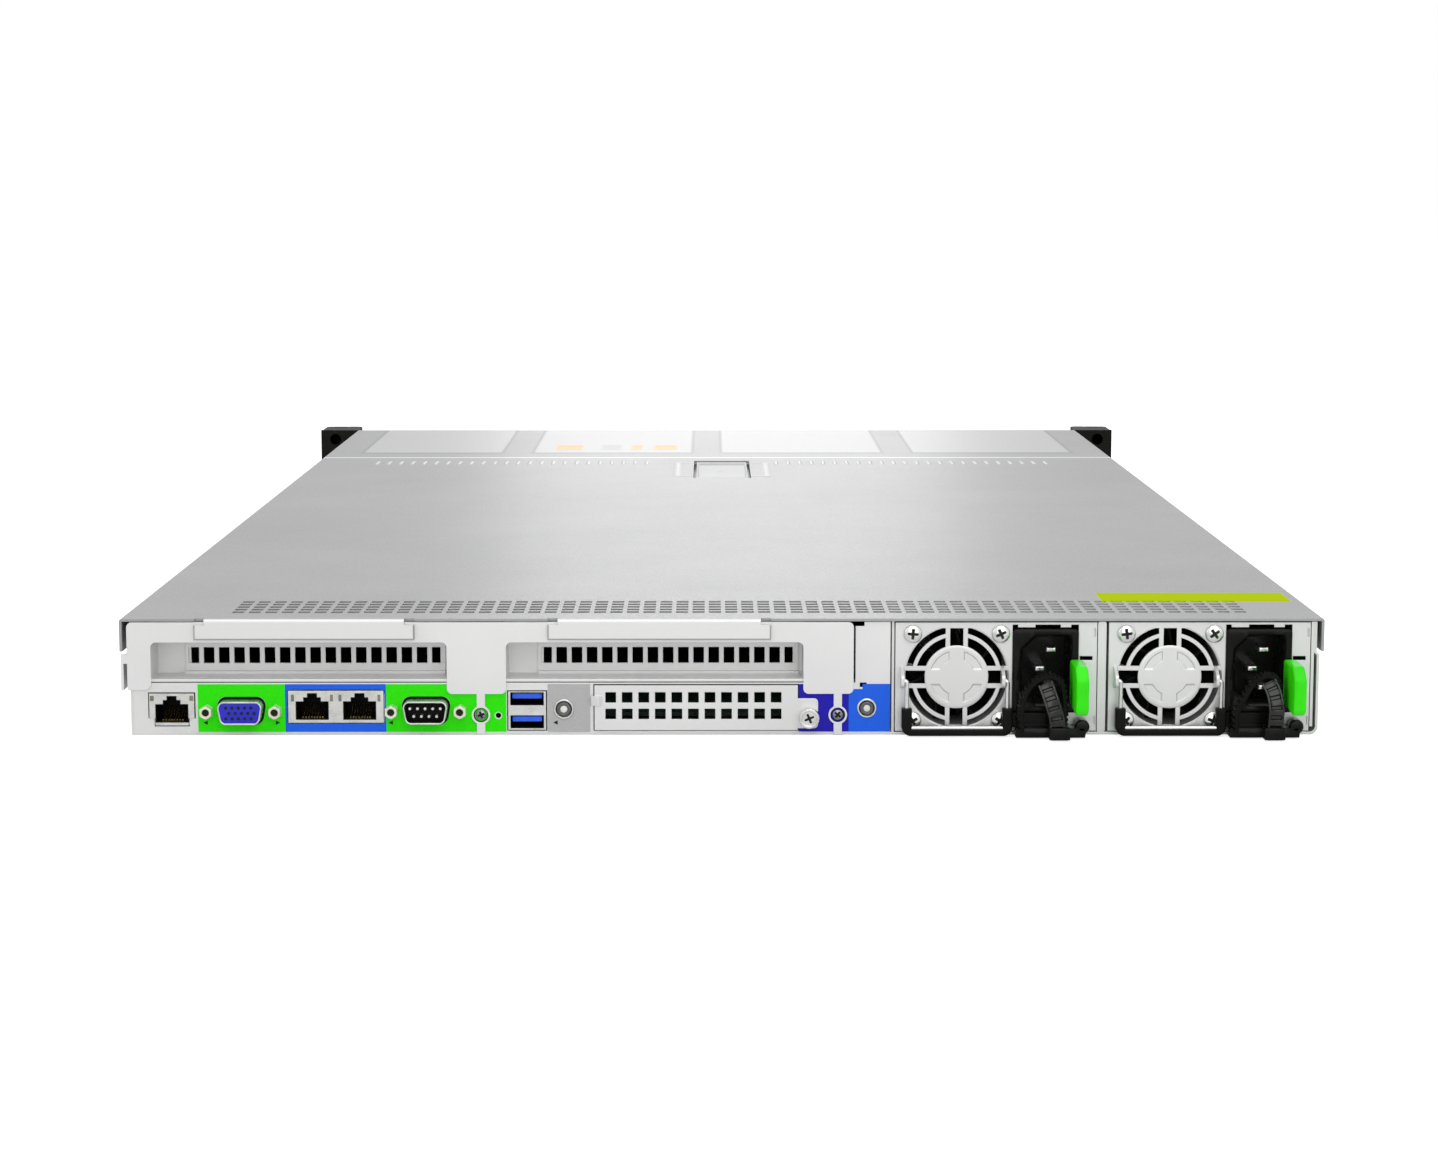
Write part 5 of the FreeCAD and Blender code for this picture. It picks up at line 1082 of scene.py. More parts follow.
class SERVER_OT_fasteners(Operator):
    """Cross-recessed screw heads and the knurled thumbscrew"""
    bl_idname = "server.fasteners"
    bl_label = "Fasteners"

    def execute(self, context):
        size = settings()
        face = rear_face()
        for n in (1, 2):
            node = "psu_%d_screws" % n
            lo, hi = low(node), high(node)
            r = 3.3 * MM
            heads, floors = [], []
            for i, (x, z) in enumerate(((lo.x + r, lo.z + r), (hi.x - r, lo.z + r), (lo.x + r, hi.z - r),
                                        (hi.x - r, hi.z - r))):
                turn = 0.3 + 0.5 * i + 0.2 * n
                heads.append(cross_head(x, z, face - 0.2 * MM, r, 0.7 * MM, 1.05 * MM, turn,
                                        depth=1.0 * MM))
                # dark plates in the cross recesses: painted shade
                floors.append(cross_recess_shade(x, z, face - 1.05 * MM, r, turn))
            place("supply_%d_screw_recesses" % n, together(floors), "psu_%d" % n, "ink_and_shade", "screw_steel")
            place("supply_%d_screw_heads" % n, together(heads), "psu_%d" % n, "screw", "screw_steel", node)
        lo, hi = low("bracket_screws"), high("bracket_screws")
        z = (lo.z + hi.z) / 2
        r = (hi.z - lo.z) / 2
        heads = [cross_head(x, z, face, 1.95 * MM, 0.35 * MM, 0.6 * MM, turn, 0.2, 0.7, 0.8 * MM)
                 for x, turn in ((lo.x + r, 0.35), (hi.x - r, 0.9))]
        # dark dished ring round each head: painted shade
        shade_bowls = [turned([(0.0, face - 0.12 * MM), (2.3 * MM, face - 0.15 * MM),
                         (2.62 * MM, face - 0.5 * MM),
                         (2.68 * MM, face - 0.45 * MM), (2.68 * MM, face), (0.0, face)], (x, 0, z), 40)
                 for x in (lo.x + r, hi.x - r)]
        place("bracket_screw_shade_rings", together(shade_bowls), "chassis", "ink_and_shade", "panel_steel")
        # dark plates in the cross recesses: painted shade
        floors = [cross_recess_shade(x, z, face - 0.30 * MM, 1.95 * MM, turn, 0.2, 0.7)
                  for x, turn in ((lo.x + r, 0.35), (hi.x - r, 0.9))]
        place("bracket_screw_recess_shade", together(floors), "chassis", "ink_and_shade", "screw_steel")
        place("bracket_screw_heads", together(heads), "chassis", "steel", "screw_steel", "bracket_screws")
        self.thumbscrew(size)
        return {"FINISHED"}

    def thumbscrew(self, size):
        """Knurled head: radius dips by a share of |sin| round the turn; cross in its crown."""
        node = "ocp_thumbscrew"
        at = middle(node)
        r = (high(node).x - low(node).x) / 2
        tip = low(node).y
        seat = rear_face() - 1.1 * MM
        count = size.knurls * 8
        angles = np.arange(count) * TURN / count
        groove = 1 - 0.05 * np.abs(np.sin(angles * size.knurls / 2)) ** 0.6
        rows = [(1.0, seat, 1), (1.0, tip + 0.9 * MM, 1), (0.96, tip + 0.35 * MM, 0.6),
                (0.90, tip + 0.05 * MM, 0),
                (0.80, tip, 0), (0.70, tip + 0.05 * MM, 0), (0.66, tip + 0.45 * MM, 0)]
        rings = []
        for share, y, knurl in rows:
            radius = r * share * (1 - (1 - groove) * knurl)
            rings.append(in_xz(polar(radius, angles, (at.x, at.z)), y))
        for s in np.linspace(0.62, 0.02, 14):
            u, v = s * np.cos(angles - 0.4), s * np.sin(angles - 0.4)
            across = np.minimum(np.abs(u), np.abs(v))
            out = np.maximum(np.abs(u), np.abs(v))
            pressed = np.clip((0.11 - across) / 0.04, 0, 1) * np.clip((0.48 - out) / 0.08, 0, 1)
            rings.append(in_xz(polar(np.full(count, r * s), angles, (at.x, at.z)),
                               tip + 0.45 * MM + 0.8 * MM * pressed))
        head = skin(np.array(rings))
        shank = turned([(0.0, seat - 0.1 * MM), (1.5 * MM, seat), (1.5 * MM, high(node).y - 0.5 * MM),
                        (1.1 * MM, high(node).y), (0.0, high(node).y)], (at.x, 0, at.z), 24)
        # dark plate in the cross recess: painted shade
        floor = cross_recess_shade(at.x, at.z, tip + 1.05 * MM, r, 0.4, 0.11, 0.48)
        place("thumbscrew_recess_shade", floor, "thumbscrew", "ink_and_shade", "screw_steel")
        place("thumbscrew_head", together([head, shank]), "thumbscrew", "screw", "screw_steel", node)


# ---------------------------------------------------------------- power supplies
def left_of(n):
    return low("psu_%d_case" % n).x


def hub_plate(x, z, y, radius):
    """Disc whose front is y + press * mask; the mask is four arcs between two radii, cut off square."""
    angles = np.arange(240) * TURN / 240
    radii = np.concatenate([np.linspace(radius, 10.1 * MM, 4), np.linspace(9.95 * MM, 6.4 * MM, 30),
                            np.linspace(6.0 * MM, 0.1 * MM, 5)])
    rings = [in_xz(polar(np.full(240, radius), angles, (x, z)), y + 0.25 * MM)]
    for r in radii:
        across, up = np.abs(r * np.cos(angles)), np.abs(r * np.sin(angles))
        mask = np.clip((r - 6.6 * MM) / (0.15 * MM), 0, 1) * np.clip((9.8 * MM - r) / (0.15 * MM), 0, 1)
        mask = mask * np.clip((across - 2.6 * MM) / (0.2 * MM), 0,
                              1) * np.clip((up - 2.7 * MM) / (0.2 * MM), 0, 1)
        edge = 0.1 * MM if r > radius - 0.01 * MM else 0.0
        rings.append(in_xz(polar(np.full(240, r), angles, (x, z)), y + edge + 0.2 * MM * mask))
    return skin(np.array(rings))


class SERVER_OT_inlets(Operator):
    """Fan hubs with pressed arcs, and mains inlets with a chamfered cavity and three blades"""
    bl_idname = "server.inlets"
    bl_label = "Hubs and inlets"

    def execute(self, context):
        face = rear_face()
        for n in (1, 2):
            body = "psu_%d" % n
            left, base = left_of(n), low("psu_%d_case" % n).z
            fan_x, fan_z = left + 22.3 * MM, base + 20.0 * MM
            hub = hub_plate(fan_x, fan_z, face - 0.22 * MM, 11.6 * MM)
            place("hub_plate_%d" % n, hub, body, "supply", "supply_steel")

            lo, hi = low("psu_%d_inlet" % n), high("psu_%d_inlet" % n)
            cx, cz = (lo.x + hi.x) / 2 + 0.3 * MM, (lo.z + hi.z) / 2 + 0.3 * MM
            y0, y1 = lo.y, hi.y
            corners = [(lo.x - cx, lo.z - cz), (hi.x - cx, lo.z - cz), (hi.x - cx, hi.z - cz),
                       (lo.x - cx, hi.z - cz)]
            outer = cornered(corners, 1.5 * MM)
            a, b, c = 8.7 * MM, 12.1 * MM, 5.0 * MM
            cavity = cornered([(-a + c, -b), (a, -b), (a, b), (-a + c, b), (-a, b - c), (-a, -b + c)],
                              1.2 * MM)
            angles = ray_angles((24.1, 30.9), (17.4, 24.2), count=160)
            rings = [in_xz(along(outer, angles, (cx, cz)), y1)]
            for t in np.linspace(0, math.pi / 2, 5):
                inset = 0.7 * MM * (1 - math.cos(t))
                rings.append(in_xz(along(outer, angles, (cx, cz), -inset),
                                   y0 + 0.7 * MM * (1 - math.sin(t))))
            for grow, depth in ((1.3, 0.0), (1.1, 0.12), (0.25, 1.1), (0.0, 1.5), (-0.05, 12.0),
                                (-0.1, 20.0)):
                rings.append(in_xz(along(cavity, angles, (cx, cz), grow * MM), y0 + depth * MM))
            place("inlet_%d_moulding" % n, skin(np.array(rings)), body, "inlet", "black_plastic",
                  "psu_%d_inlet" % n)

            blades = []
            for dx, dz in ((-2.0, 0.0), (2.0, 7.0), (2.0, -7.0)):
                path = np.array([(cx + dx * MM, y0 + d * MM,
                                  cz + dz * MM) for d in (3.4, 3.6, 4.2, 12.0, 20.5)])
                shape = superellipse(3.9 * MM, 1.9 * MM, 8, 24)
                shares = np.array([0.55, 0.8, 1.0, 1.0, 1.0])
                blades.append(swept(path, shape[None] * shares[:, None, None], up=(0, 0, 1)))
            place("inlet_%d_blades" % n, together(blades), body, "screw", "connector_metal")
        return {"FINISHED"}


def ribbed_sections(steps, width, thickness, tooth, pitch, length):
    """Closed sections of a toothed band: one side rises by tooth * square-ish wave of the distance."""
    distance = np.linspace(0, length, steps)
    wave = np.clip(0.5 + 1.6 * np.sin(distance * TURN / pitch), 0, 1)
    w, t = width / 2, thickness / 2
    outside = t + tooth * wave
    across = np.array([-1, -0.92, -0.7, 0, 0.7, 0.92, 1]) * w
    fall = np.array([0.35, 0.08, 0, 0, 0, 0.08, 0.35]) * thickness * 0.5
    front = np.stack([outside[:, None] - fall[None, :], np.repeat(across[None], steps, 0)], -1)
    back = np.stack([np.repeat((-t + fall[::-1])[None], steps, 0), np.repeat(across[::-1][None], steps, 0)],
                    -1)
    return np.concatenate([front, back], axis=1)


def ladder_sections(steps, width, thickness, rail, groove, pitch, length):
    """Sections of a band with rails at both edges and rungs between: the front dips by a groove wave."""
    distance = np.linspace(0, length, steps)
    dip = np.clip(-0.2 + 1.8 * np.cos(distance * TURN / pitch), 0, 1) * groove
    w, t = width / 2, thickness / 2
    across = np.array([-w, -w + 0.25 * rail, -w + 0.9 * rail, -w + 1.1 * rail, -w + 1.4 * rail, 0.0,
                       w - 1.4 * rail, w - 1.1 * rail, w - 0.9 * rail, w - 0.25 * rail, w])
    share = np.array([0, 0, 0, 0.6, 1, 1, 1, 0.6, 0, 0, 0.0])
    edge = np.array([0.3, 0, 0, 0.15, 0.3, 0.25, 0.3, 0.15, 0, 0, 0.3]) * t
    front = np.stack([np.repeat(across[None], steps, 0), -t + edge[None] + dip[:, None] * share[None]], -1)
    back = np.stack([np.repeat(across[::-1][None], steps, 0), np.full((steps, len(across)), t)], -1)
    return np.concatenate([front, back], axis=1)


def length_of(path):
    return float(np.linalg.norm(np.diff(path, axis=0), axis=1).sum())


class SERVER_OT_cord_straps(Operator):
    """Ladder straps for the mains cords, their base blocks and release knobs"""
    bl_idname = "server.cord_straps"
    bl_label = "Cord straps"

    ARCH = {1: ((45.6, -8.0, 1.6), (45.3, -8.8, 9.0), (46.6, -9.4, 15.0), (50.0, -9.8, 19.8),
                (55.0, -10.0, 21.9),
                (59.2, -10.0, 19.6), (60.5, -10.0, 13.0), (60.5, -9.8, 6.0), (60.4, -9.4, 1.6)),
            2: ((45.6, -8.0, 1.6), (45.6, -8.6, 8.0), (48.4, -9.4, 14.5), (52.0, -9.8, 20.2),
                (56.6, -10.0, 22.0),
                (59.6, -10.0, 20.0), (60.5, -10.0, 13.0), (60.5, -9.8, 6.0), (60.4, -9.4, 1.6))}
    TAIL = {1: ((53.4, -12.4, 19.6), (54.6, -13.6, 16.4), (56.2, -14.2, 11.6), (57.6, -14.2, 6.6),
                (58.0, -12.6, 0.8)),
            2: ((56.4, -12.2, 20.2), (58.0, -13.4, 16.6), (59.0, -14.2, 11.6), (59.0, -14.2, 6.6),
                (58.8, -12.6, 0.8))}

    def execute(self, context):
        size = settings()
        face = rear_face()
        for n in (1, 2):
            body = "psu_%d" % n
            left = left_of(n)
            at = np.array([left, face, low("psu_%d_case" % n).z])
            bottom = low("psu_%d_strap" % n).z
            arch = smooth_path(np.array(self.ARCH[n]) * MM + at, 150)
            teeth = ribbed_sections(150, 5.4 * MM, 1.5 * MM, 0.7 * MM, size.rung_pitch * 0.72,
                                    length_of(arch))
            tail = smooth_path(np.array(self.TAIL[n]) * MM + at, 120)
            rungs = ladder_sections(120, 5.6 * MM, 1.3 * MM, 0.8 * MM, 0.8 * MM, size.rung_pitch * 1.5,
                                    length_of(tail))
            place("strap_%d_arch" % n, swept(arch, teeth), body, "black", "strap_nylon", "psu_%d_strap" % n)
            # ladder of the strap in the lightened black: painted light on the lit front
            place("strap_%d_ladder" % n, swept(tail, rungs), body, "front_lit_nylon", "strap_nylon")

            x0 = left + 43.2 * MM
            parts = [block(x0, x0 + 25.6 * MM, face - 9 * MM, face, bottom, bottom + 3.6 * MM, 0.4 * MM),
                     block(left + 55.0 * MM, left + 62.6 * MM, face - 14.6 * MM, face - 8.6 * MM,
                           bottom, bottom + 4.6 * MM, 0.5 * MM)]
            knob = turned([(0.0, face - 9 * MM), (1.2 * MM, face - 9 * MM), (2.2 * MM, face - 8.8 * MM),
                           (2.7 * MM, face - 8.2 * MM), (2.7 * MM,
                                                         face - 3.0 * MM), (0.0, face - 3.0 * MM)],
                          (left + 67.4 * MM, 0, bottom + 3.9 * MM), 36)
            parts.append(knob)
            foot_top = low("psu_%d_inlet" % n).z
            parts.append(block(x0 - 0.5 * MM, x0 + 17.0 * MM, face - 3.0 * MM, face, bottom + 3.0 * MM,
                               foot_top + 0.3 * MM))
            place("strap_%d_base" % n, together(parts), body, "inlet", "black_plastic")
        return {"FINISHED"}


class SERVER_OT_handles(Operator):
    """Wire bails with their moulded grips, and the green squeeze tabs"""
    bl_idname = "server.handles"
    bl_label = "Handles and tabs"

    def execute(self, context):
        size = settings()
        for n in (1, 2):
            self.bail(n, size)
            self.grip(n)
            self.tab(n)
        return {"FINISHED"}

    def legs(self, n):
        """X of both legs, Y of the wire, Z of the pivot and of the grip's top and bottom."""
        left, base = left_of(n), low("psu_%d_case" % n).z
        grip_lo, grip_hi = low("psu_%d_grip" % n), high("psu_%d_grip" % n)
        return (left + 4.0 * MM, left + 40.6 * MM, (grip_lo.y + grip_hi.y) / 2, base + 19.2 * MM, grip_hi.z,
                grip_lo.z)

    def bail(self, n, size):
        x0, x1, y, pivot, top, bottom = self.legs(n)
        wire = superellipse(2 * size.wire, 2 * size.wire, 2, 18)
        parts = []
        for x in (x0, x1):
            toe = x - 2.1 * MM
            path = smooth_path([(toe, y, pivot), (x - 0.9 * MM, y, pivot),
                                (x - 0.25 * MM, y, pivot - 0.25 * MM),
                                (x, y, pivot - 1.0 * MM), (x, y,
                                                           pivot - 4.0 * MM), (x, y, top - 0.6 * MM)], 60)
            parts.append(swept(path, wire))
        lip = np.array([(x, y - 0.9 * MM,
                         bottom + 2.9 * MM) for x in np.linspace(x0 + 1.6 * MM, x1 - 1.6 * MM, 9)])
        parts.append(swept(lip, superellipse(1.3 * MM, 1.0 * MM, 3, 18)))
        place("bail_%d_wire" % n, together(parts), "psu_%d_handle" % n, "wire", "wire_steel",
              "psu_%d_bail" % n)

    def grip(self, n):
        """A soft rectangle carried down one leg, along the bar and up the other leg."""
        x0, x1, y, _, top, bottom = self.legs(n)
        bar = bottom + 1.3 * MM
        turn = 1.9 * MM
        down = [(x0, z) for z in (top, top - 0.12 * MM, top - 0.5 * MM, top - 2 * MM,
                                  bar + turn + 0.6 * MM)]
        arcs = np.linspace(math.pi, 1.5 * math.pi, 9)
        first = [(x0 + turn + turn * math.cos(a), bar + turn + turn * math.sin(a)) for a in arcs]
        along_bar = [(x, bar) for x in np.linspace(x0 + turn + 1 * MM, x1 - turn - 1 * MM, 8)]
        half = np.array(down + first)
        mirrored = np.stack([x0 + x1 - half[::-1, 0], half[::-1, 1]], -1)
        flat = np.concatenate([half, np.array(along_bar), mirrored])
        path = np.stack([flat[:, 0], np.full(len(flat), y), flat[:, 1]], -1)
        wide = np.concatenate([np.array([0.80, 0.95, 1, 1, 1]) * 3.8, np.linspace(3.8, 2.6, 9),
                               np.full(4, 2.6)]) * MM
        wide = np.concatenate([wide, wide[::-1]])
        deep = np.concatenate([np.array([0.80, 0.95, 1, 1, 1]), np.ones(len(wide) // 2 - 5)]) * 4.2 * MM
        deep = np.concatenate([deep, deep[::-1]])
        unit = superellipse(1.0, 1.0, 5, 36)
        sections = unit[None] * np.stack([wide, deep], -1)[:, None, :]
        place("bail_%d_grip" % n, swept(path, sections), "psu_%d_handle" % n, "black", "black_plastic",
              "psu_%d_grip" % n)

    def tab(self, n):
        """Rounded plate in the upright plane: the outline shrinks along a quarter circle at both faces."""
        lo, hi = low("psu_%d_latch" % n), high("psu_%d_latch" % n)
        face = rear_face()
        x0, x1 = lo.x, lo.x + 4.5 * MM
        y0, y1 = lo.y, face - 2.3 * MM
        z0, z1 = lo.z, hi.z
        cy, cz = (y0 + y1) / 2, (z0 + z1) / 2
        corners = [(y0, z0 + 1.5 * MM), (y0 + 3 * MM, z0), (y1, z0 + 1.5 * MM), (y1, z1), (y0 + 5 * MM, z1),
                   (y0, z1 - 4 * MM)]
        outline = cornered([(y - cy, z - cz) for y, z in corners], 1.4 * MM)
        angles = ray_angles((y1 - y0, z1 - z0), count=120)
        bevel = 0.9 * MM
        rings = []
        quarter = np.linspace(0, math.pi / 2, 6)
        steps = [(x0 + bevel * (1 - math.cos(t)), bevel * (1 - math.sin(t))) for t in quarter]
        steps += [(x1 - bevel * (1 - math.cos(t)), bevel * (1 - math.sin(t))) for t in quarter[::-1]]
        for x, inset in steps:
            flat = along(outline, angles, (cy, cz), -inset)
            rings.append(np.stack([np.full(len(flat), x), flat[:, 0], flat[:, 1]], -1))
        shape = skin(np.array(rings))
        tail_x = left_of(n) + 67.5 * MM
        tail = block(tail_x, tail_x + 1.2 * MM, y1 - 2 * MM, hi.y, z0 + 2.5 * MM, z1 - 2.5 * MM, 0.2 * MM)
        bridge = block(x0 + 0.4 * MM, tail_x + 1.2 * MM, y1 - 2 * MM, y1, z0 + 2.5 * MM, z1 - 2.5 * MM,
                       0.2 * MM)
        place("latch_tab_%d" % n, together([shape, tail, bridge]), "psu_%d_tab" % n, "tab", "latch_steel",
              "psu_%d_latch" % n)


# ---------------------------------------------------------------- rack ears
class SERVER_OT_ear_lids(Operator):
    """Moulded lids over the screw pockets of the rack ears"""
    bl_idname = "server.ear_lids"
    bl_label = "Ear lids"

    def execute(self, context):
        reach = EAR_POCKET
        for name in ("left", "right"):
            lo, hi = low(name + "_ear"), high(name + "_ear")
            side = -1 if name == "left" else 1
            x = (lo.x if side < 0 else hi.x) - side * EAR_HOLE_INSET
            parts = []
            for sign in (-1, 1):
                z = (lo.z + hi.z) / 2 + sign * EAR_HOLE_RISE
                z0, z1 = max(z - reach, lo.z + 0.3 * MM), min(z + reach, hi.z - 0.3 * MM)
                front = hi.y - 0.4 * MM
                rear = lo.y + 3.0 * MM
                parts.append(block(x - reach, x + reach, front - 9.0 * MM, front, z0, z1, 0.3 * MM))
                rim = (z1 - 0.8 * MM, z1) if sign > 0 else (z0, z0 + 0.8 * MM)
                parts.append(block(x - reach, x + reach, rear, front - 8.0 * MM, *rim))
            place(name + "_ear_lids", together(parts), "chassis", "ear", "black_plastic")
        return {"FINISHED"}


# ---------------------------------------------------------------- cover latch
class SERVER_OT_cover_lever(Operator):
    """Dished lever plate of the rear cover with a centre dot"""
    bl_idname = "server.cover_lever"
    bl_label = "Cover lever"

    def execute(self, context):
        lo, hi = low("cover_latch"), high("cover_latch")
        x0, x1 = lo.x, hi.x
        y0, y1 = lo.y, hi.y - 5.2 * MM
        top = hi.z
        u = np.linspace(-1, 1, 41)
        v = np.linspace(0, 1, 81)
        U, V = np.meshgrid(u, v, indexing="ij")
        x = (x0 + x1) / 2 + U * (x1 - x0) / 2
        y = y0 + V * (y1 - y0)
        rim = np.clip((np.abs(U) - 0.90) / 0.06, 0, 1)
        near = np.clip((0.045 - V) / 0.03, 0, 1)
        far = np.clip((V - 0.90) / 0.06, 0, 1)
        dot = np.exp(-(((x - (x0 + x1) / 2) / (1.5 * MM)) ** 2 + ((y - (y0 + y1) / 2) / (4 * MM)) ** 2))
        z = top - 0.62 * MM * (1 - np.maximum(np.maximum(rim, near), far)) + 0.35 * MM * dot
        z = np.minimum(z, top)
        upper = np.stack([x, y, z], -1)
        lower = np.stack([x, y, np.full_like(x, top - 1.6 * MM)], -1)
        count = u.size * v.size
        index = np.arange(count).reshape(u.size, v.size)
        quads = np.stack([index[:-1, :-1], index[1:, :-1], index[1:, 1:], index[:-1, 1:]],
                         -1).reshape(-1, 4)
        faces = quads.tolist() + (quads[:, ::-1] + count).tolist()
        rim_loop = np.concatenate([index[:, 0], index[-1, 1:], index[-2::-1, -1], index[0, -2:0:-1]])
        ahead = np.roll(rim_loop, -1)
        faces += np.stack([ahead, rim_loop, rim_loop + count, ahead + count], -1).tolist()
        verts = np.concatenate([upper.reshape(-1, 3), lower.reshape(-1, 3)])
        knuckle = turned([(0.0, x0), (1.1 * MM, x0), (1.2 * MM, x0 + 0.1 * MM), (1.2 * MM, x1 - 0.1 * MM),
                          (1.1 * MM, x1), (0.0, x1)], (0, hi.y - 1.2 * MM, top - 1.2 * MM), 28, axis="X")
        cheeks = [block(x, x + 1.0 * MM, y0 + 1 * MM, y1, lo.z,
                        top - 0.8 * MM) for x in (x0, x1 - 1.0 * MM)]
        link = block(x0, x1, y1 - 0.5 * MM, hi.y - 1.4 * MM, top - 1.6 * MM, top - 0.15 * MM)
        place("cover_lever_plate", together([(verts, faces), knuckle, link] + cheeks), "cover_lever",
              "lever", "cover_steel", "cover_latch")
        return {"FINISHED"}


# ---------------------------------------------------------------- solids that keep their shape
class SERVER_OT_sheet_finishes(Operator):
    """Finishes of the solids that keep their own shape"""
    bl_idname = "server.sheet_finishes"
    bl_label = "Finishes of the solids"

    def execute(self, context):
        make_materials(context.scene.server_colours)
        for finish, nodes in NODE_FINISH.items():
            for node in nodes:
                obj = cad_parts[node]
                if obj.material_slots:
                    obj.material_slots[0].material = MATERIALS[finish]
                else:
                    obj.data.materials.append(MATERIALS[finish])
        return {"FINISHED"}


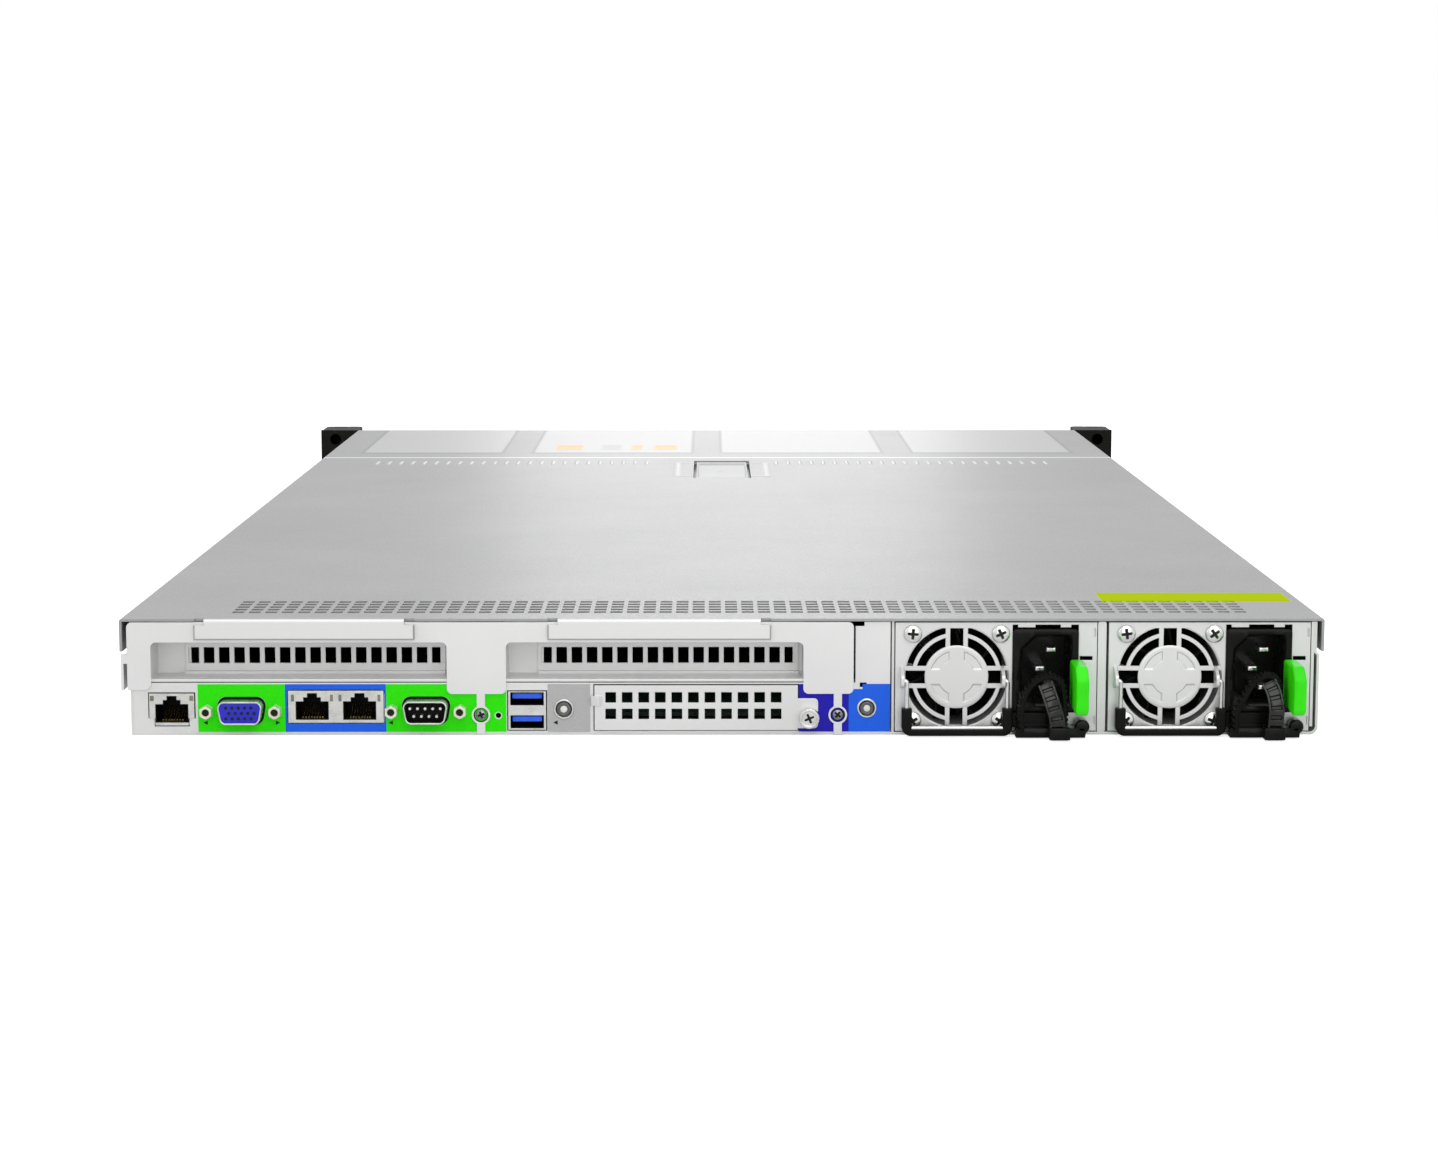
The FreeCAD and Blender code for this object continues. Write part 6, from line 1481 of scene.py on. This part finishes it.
# ---------------------------------------------------------------- stage
class SERVER_OT_stage(Operator):
    """White floor, even light and the camera"""
    bl_idname = "server.stage"
    bl_label = "Stage"

    def execute(self, context):
        stage = context.scene.server_stage
        scene = context.scene
        scene.view_settings.view_transform = "Standard"

        camera = bpy.data.cameras.new("camera")
        camera.sensor_fit = "HORIZONTAL"
        camera.sensor_width = 36.0
        camera.lens = stage.focal
        camera.clip_start = 0.05
        camera.clip_end = 50.0
        eye = bpy.data.objects.new("camera", camera)
        eye.location = (-4.85 * MM, -1514.43 * MM, 210.40 * MM)
        eye.rotation_euler = (math.pi / 2 - 0.135863, 0.0, -0.0033185)
        scene.collection.objects.link(eye)
        scene.camera = eye

        span = 6.0
        grid = np.linspace(-span, span, 9)
        x, y = np.meshgrid(grid, grid, indexing="ij")
        verts = np.stack([x, y, np.full_like(x, -0.05 * MM)], -1).reshape(-1, 3)
        index = np.arange(81).reshape(9, 9)
        faces = np.stack([index[:-1, :-1], index[1:, :-1], index[1:, 1:], index[:-1, 1:]],
                         -1).reshape(-1, 4).tolist()
        floor = mesh_object("floor", verts, faces, smooth=False)
        floor.data.materials.append(self.floor_material())

        self.lamp("rear_soft_lamp", (0.3, -2.2, 0.7), (0.0, -0.39, 0.02), 1.5, stage.front)
        self.lamp("key_lamp", (0.1, -0.9, 1.7), (0.0, 0.0, 0.0), 1.6, stage.key)
        self.lamp("fill_lamp", (-1.7, -0.9, 0.9), (0.0, -0.1, 0.0), 1.2, stage.fill)
        self.lamp("back_lamp", (0.02, 2.3, 0.46), (0.0, 0.0, 0.04), 0.55, stage.back)
        scene.world = self.sky(stage.sky)
        return {"FINISHED"}

    def floor_material(self):
        """Pale floor: white to the camera, with the shadow kept."""
        made = bpy.data.materials.new("floor_white")
        made.use_nodes = True
        tree = made.node_tree
        tree.nodes.clear()
        out = add(tree, "ShaderNodeOutputMaterial")
        diffuse = add(tree, "ShaderNodeBsdfDiffuse")
        diffuse.inputs["Color"].default_value = (0.82, 0.82, 0.82, 1)
        glow = add(tree, "ShaderNodeEmission")
        path = add(tree, "ShaderNodeLightPath")
        strength = add(tree, "ShaderNodeMath", operation="MULTIPLY")
        strength.inputs[1].default_value = 0.75
        tree.links.new(path.outputs["Is Camera Ray"], strength.inputs[0])
        tree.links.new(strength.outputs["Value"], glow.inputs["Strength"])
        both = add(tree, "ShaderNodeAddShader")
        tree.links.new(diffuse.outputs[0], both.inputs[0])
        tree.links.new(glow.outputs[0], both.inputs[1])
        tree.links.new(both.outputs[0], out.inputs["Surface"])
        return made

    def lamp(self, name, place, target, size, power):
        data = bpy.data.lights.new(name, "AREA")
        data.shape = "SQUARE"
        data.size = size
        data.energy = power
        obj = bpy.data.objects.new(name, data)
        obj.location = place
        obj.rotation_euler = (Vector(target) - Vector(place)).to_track_quat("-Z", "Y").to_euler()
        bpy.context.scene.collection.objects.link(obj)

    def sky(self, strength):
        """Even light, and plain white where the camera, a gloss or a glass looks at it."""
        world = bpy.data.worlds.new("sky")
        world.use_nodes = True
        tree = world.node_tree
        tree.nodes.clear()
        out = add(tree, "ShaderNodeOutputWorld")
        background = add(tree, "ShaderNodeBackground")
        background.inputs["Color"].default_value = (1, 1, 1, 1)
        path = add(tree, "ShaderNodeLightPath")
        seen = add(tree, "ShaderNodeMath", operation="MAXIMUM")
        tree.links.new(path.outputs["Is Camera Ray"], seen.inputs[0])
        tree.links.new(path.outputs["Is Glossy Ray"], seen.inputs[1])
        clear = add(tree, "ShaderNodeMath", operation="MAXIMUM")
        tree.links.new(seen.outputs["Value"], clear.inputs[0])
        tree.links.new(path.outputs["Is Transmission Ray"], clear.inputs[1])
        tree.links.new(spread(tree, clear.outputs["Value"], strength, 1.0, 0.0, 1.0),
                       background.inputs["Strength"])
        tree.links.new(background.outputs[0], out.inputs["Surface"])
        return world


class SERVER_PT_panel(Panel):
    """Lists the pieces of the server's finish"""
    bl_label = "Rack server"
    bl_idname = "SERVER_PT_panel"
    bl_space_type = "VIEW_3D"
    bl_region_type = "UI"
    bl_category = "Rack server"

    def draw(self, context):
        for cls in OPERATORS:
            self.layout.operator(cls.bl_idname)
        for group in (context.scene.server_colours, context.scene.server_sizes, context.scene.server_stage):
            box = self.layout.box()
            for name in group.__annotations__:
                box.prop(group, name)


OPERATORS = (
    SERVER_OT_sheet_finishes,
    SERVER_OT_printed_fields,
    SERVER_OT_d_connectors,
    SERVER_OT_network_jacks,
    SERVER_OT_bus_sockets,
    SERVER_OT_buttons,
    SERVER_OT_fasteners,
    SERVER_OT_inlets,
    SERVER_OT_cord_straps,
    SERVER_OT_handles,
    SERVER_OT_ear_lids,
    SERVER_OT_cover_lever,
    SERVER_OT_stage,
)
CLASSES = (ServerColours, ServerSizes, ServerStage) + OPERATORS + (SERVER_PT_panel,)


def register():
    for cls in CLASSES:
        bpy.utils.register_class(cls)
    bpy.types.Scene.server_colours = PointerProperty(type=ServerColours)
    bpy.types.Scene.server_sizes = PointerProperty(type=ServerSizes)
    bpy.types.Scene.server_stage = PointerProperty(type=ServerStage)


def unregister():
    del bpy.types.Scene.server_stage
    del bpy.types.Scene.server_sizes
    del bpy.types.Scene.server_colours
    for cls in reversed(CLASSES):
        bpy.utils.unregister_class(cls)


def main():
    register()
    for cls in OPERATORS:
        group, name = cls.bl_idname.split(".")
        getattr(getattr(bpy.ops, group), name)()


if __name__ == "__main__":
    main()
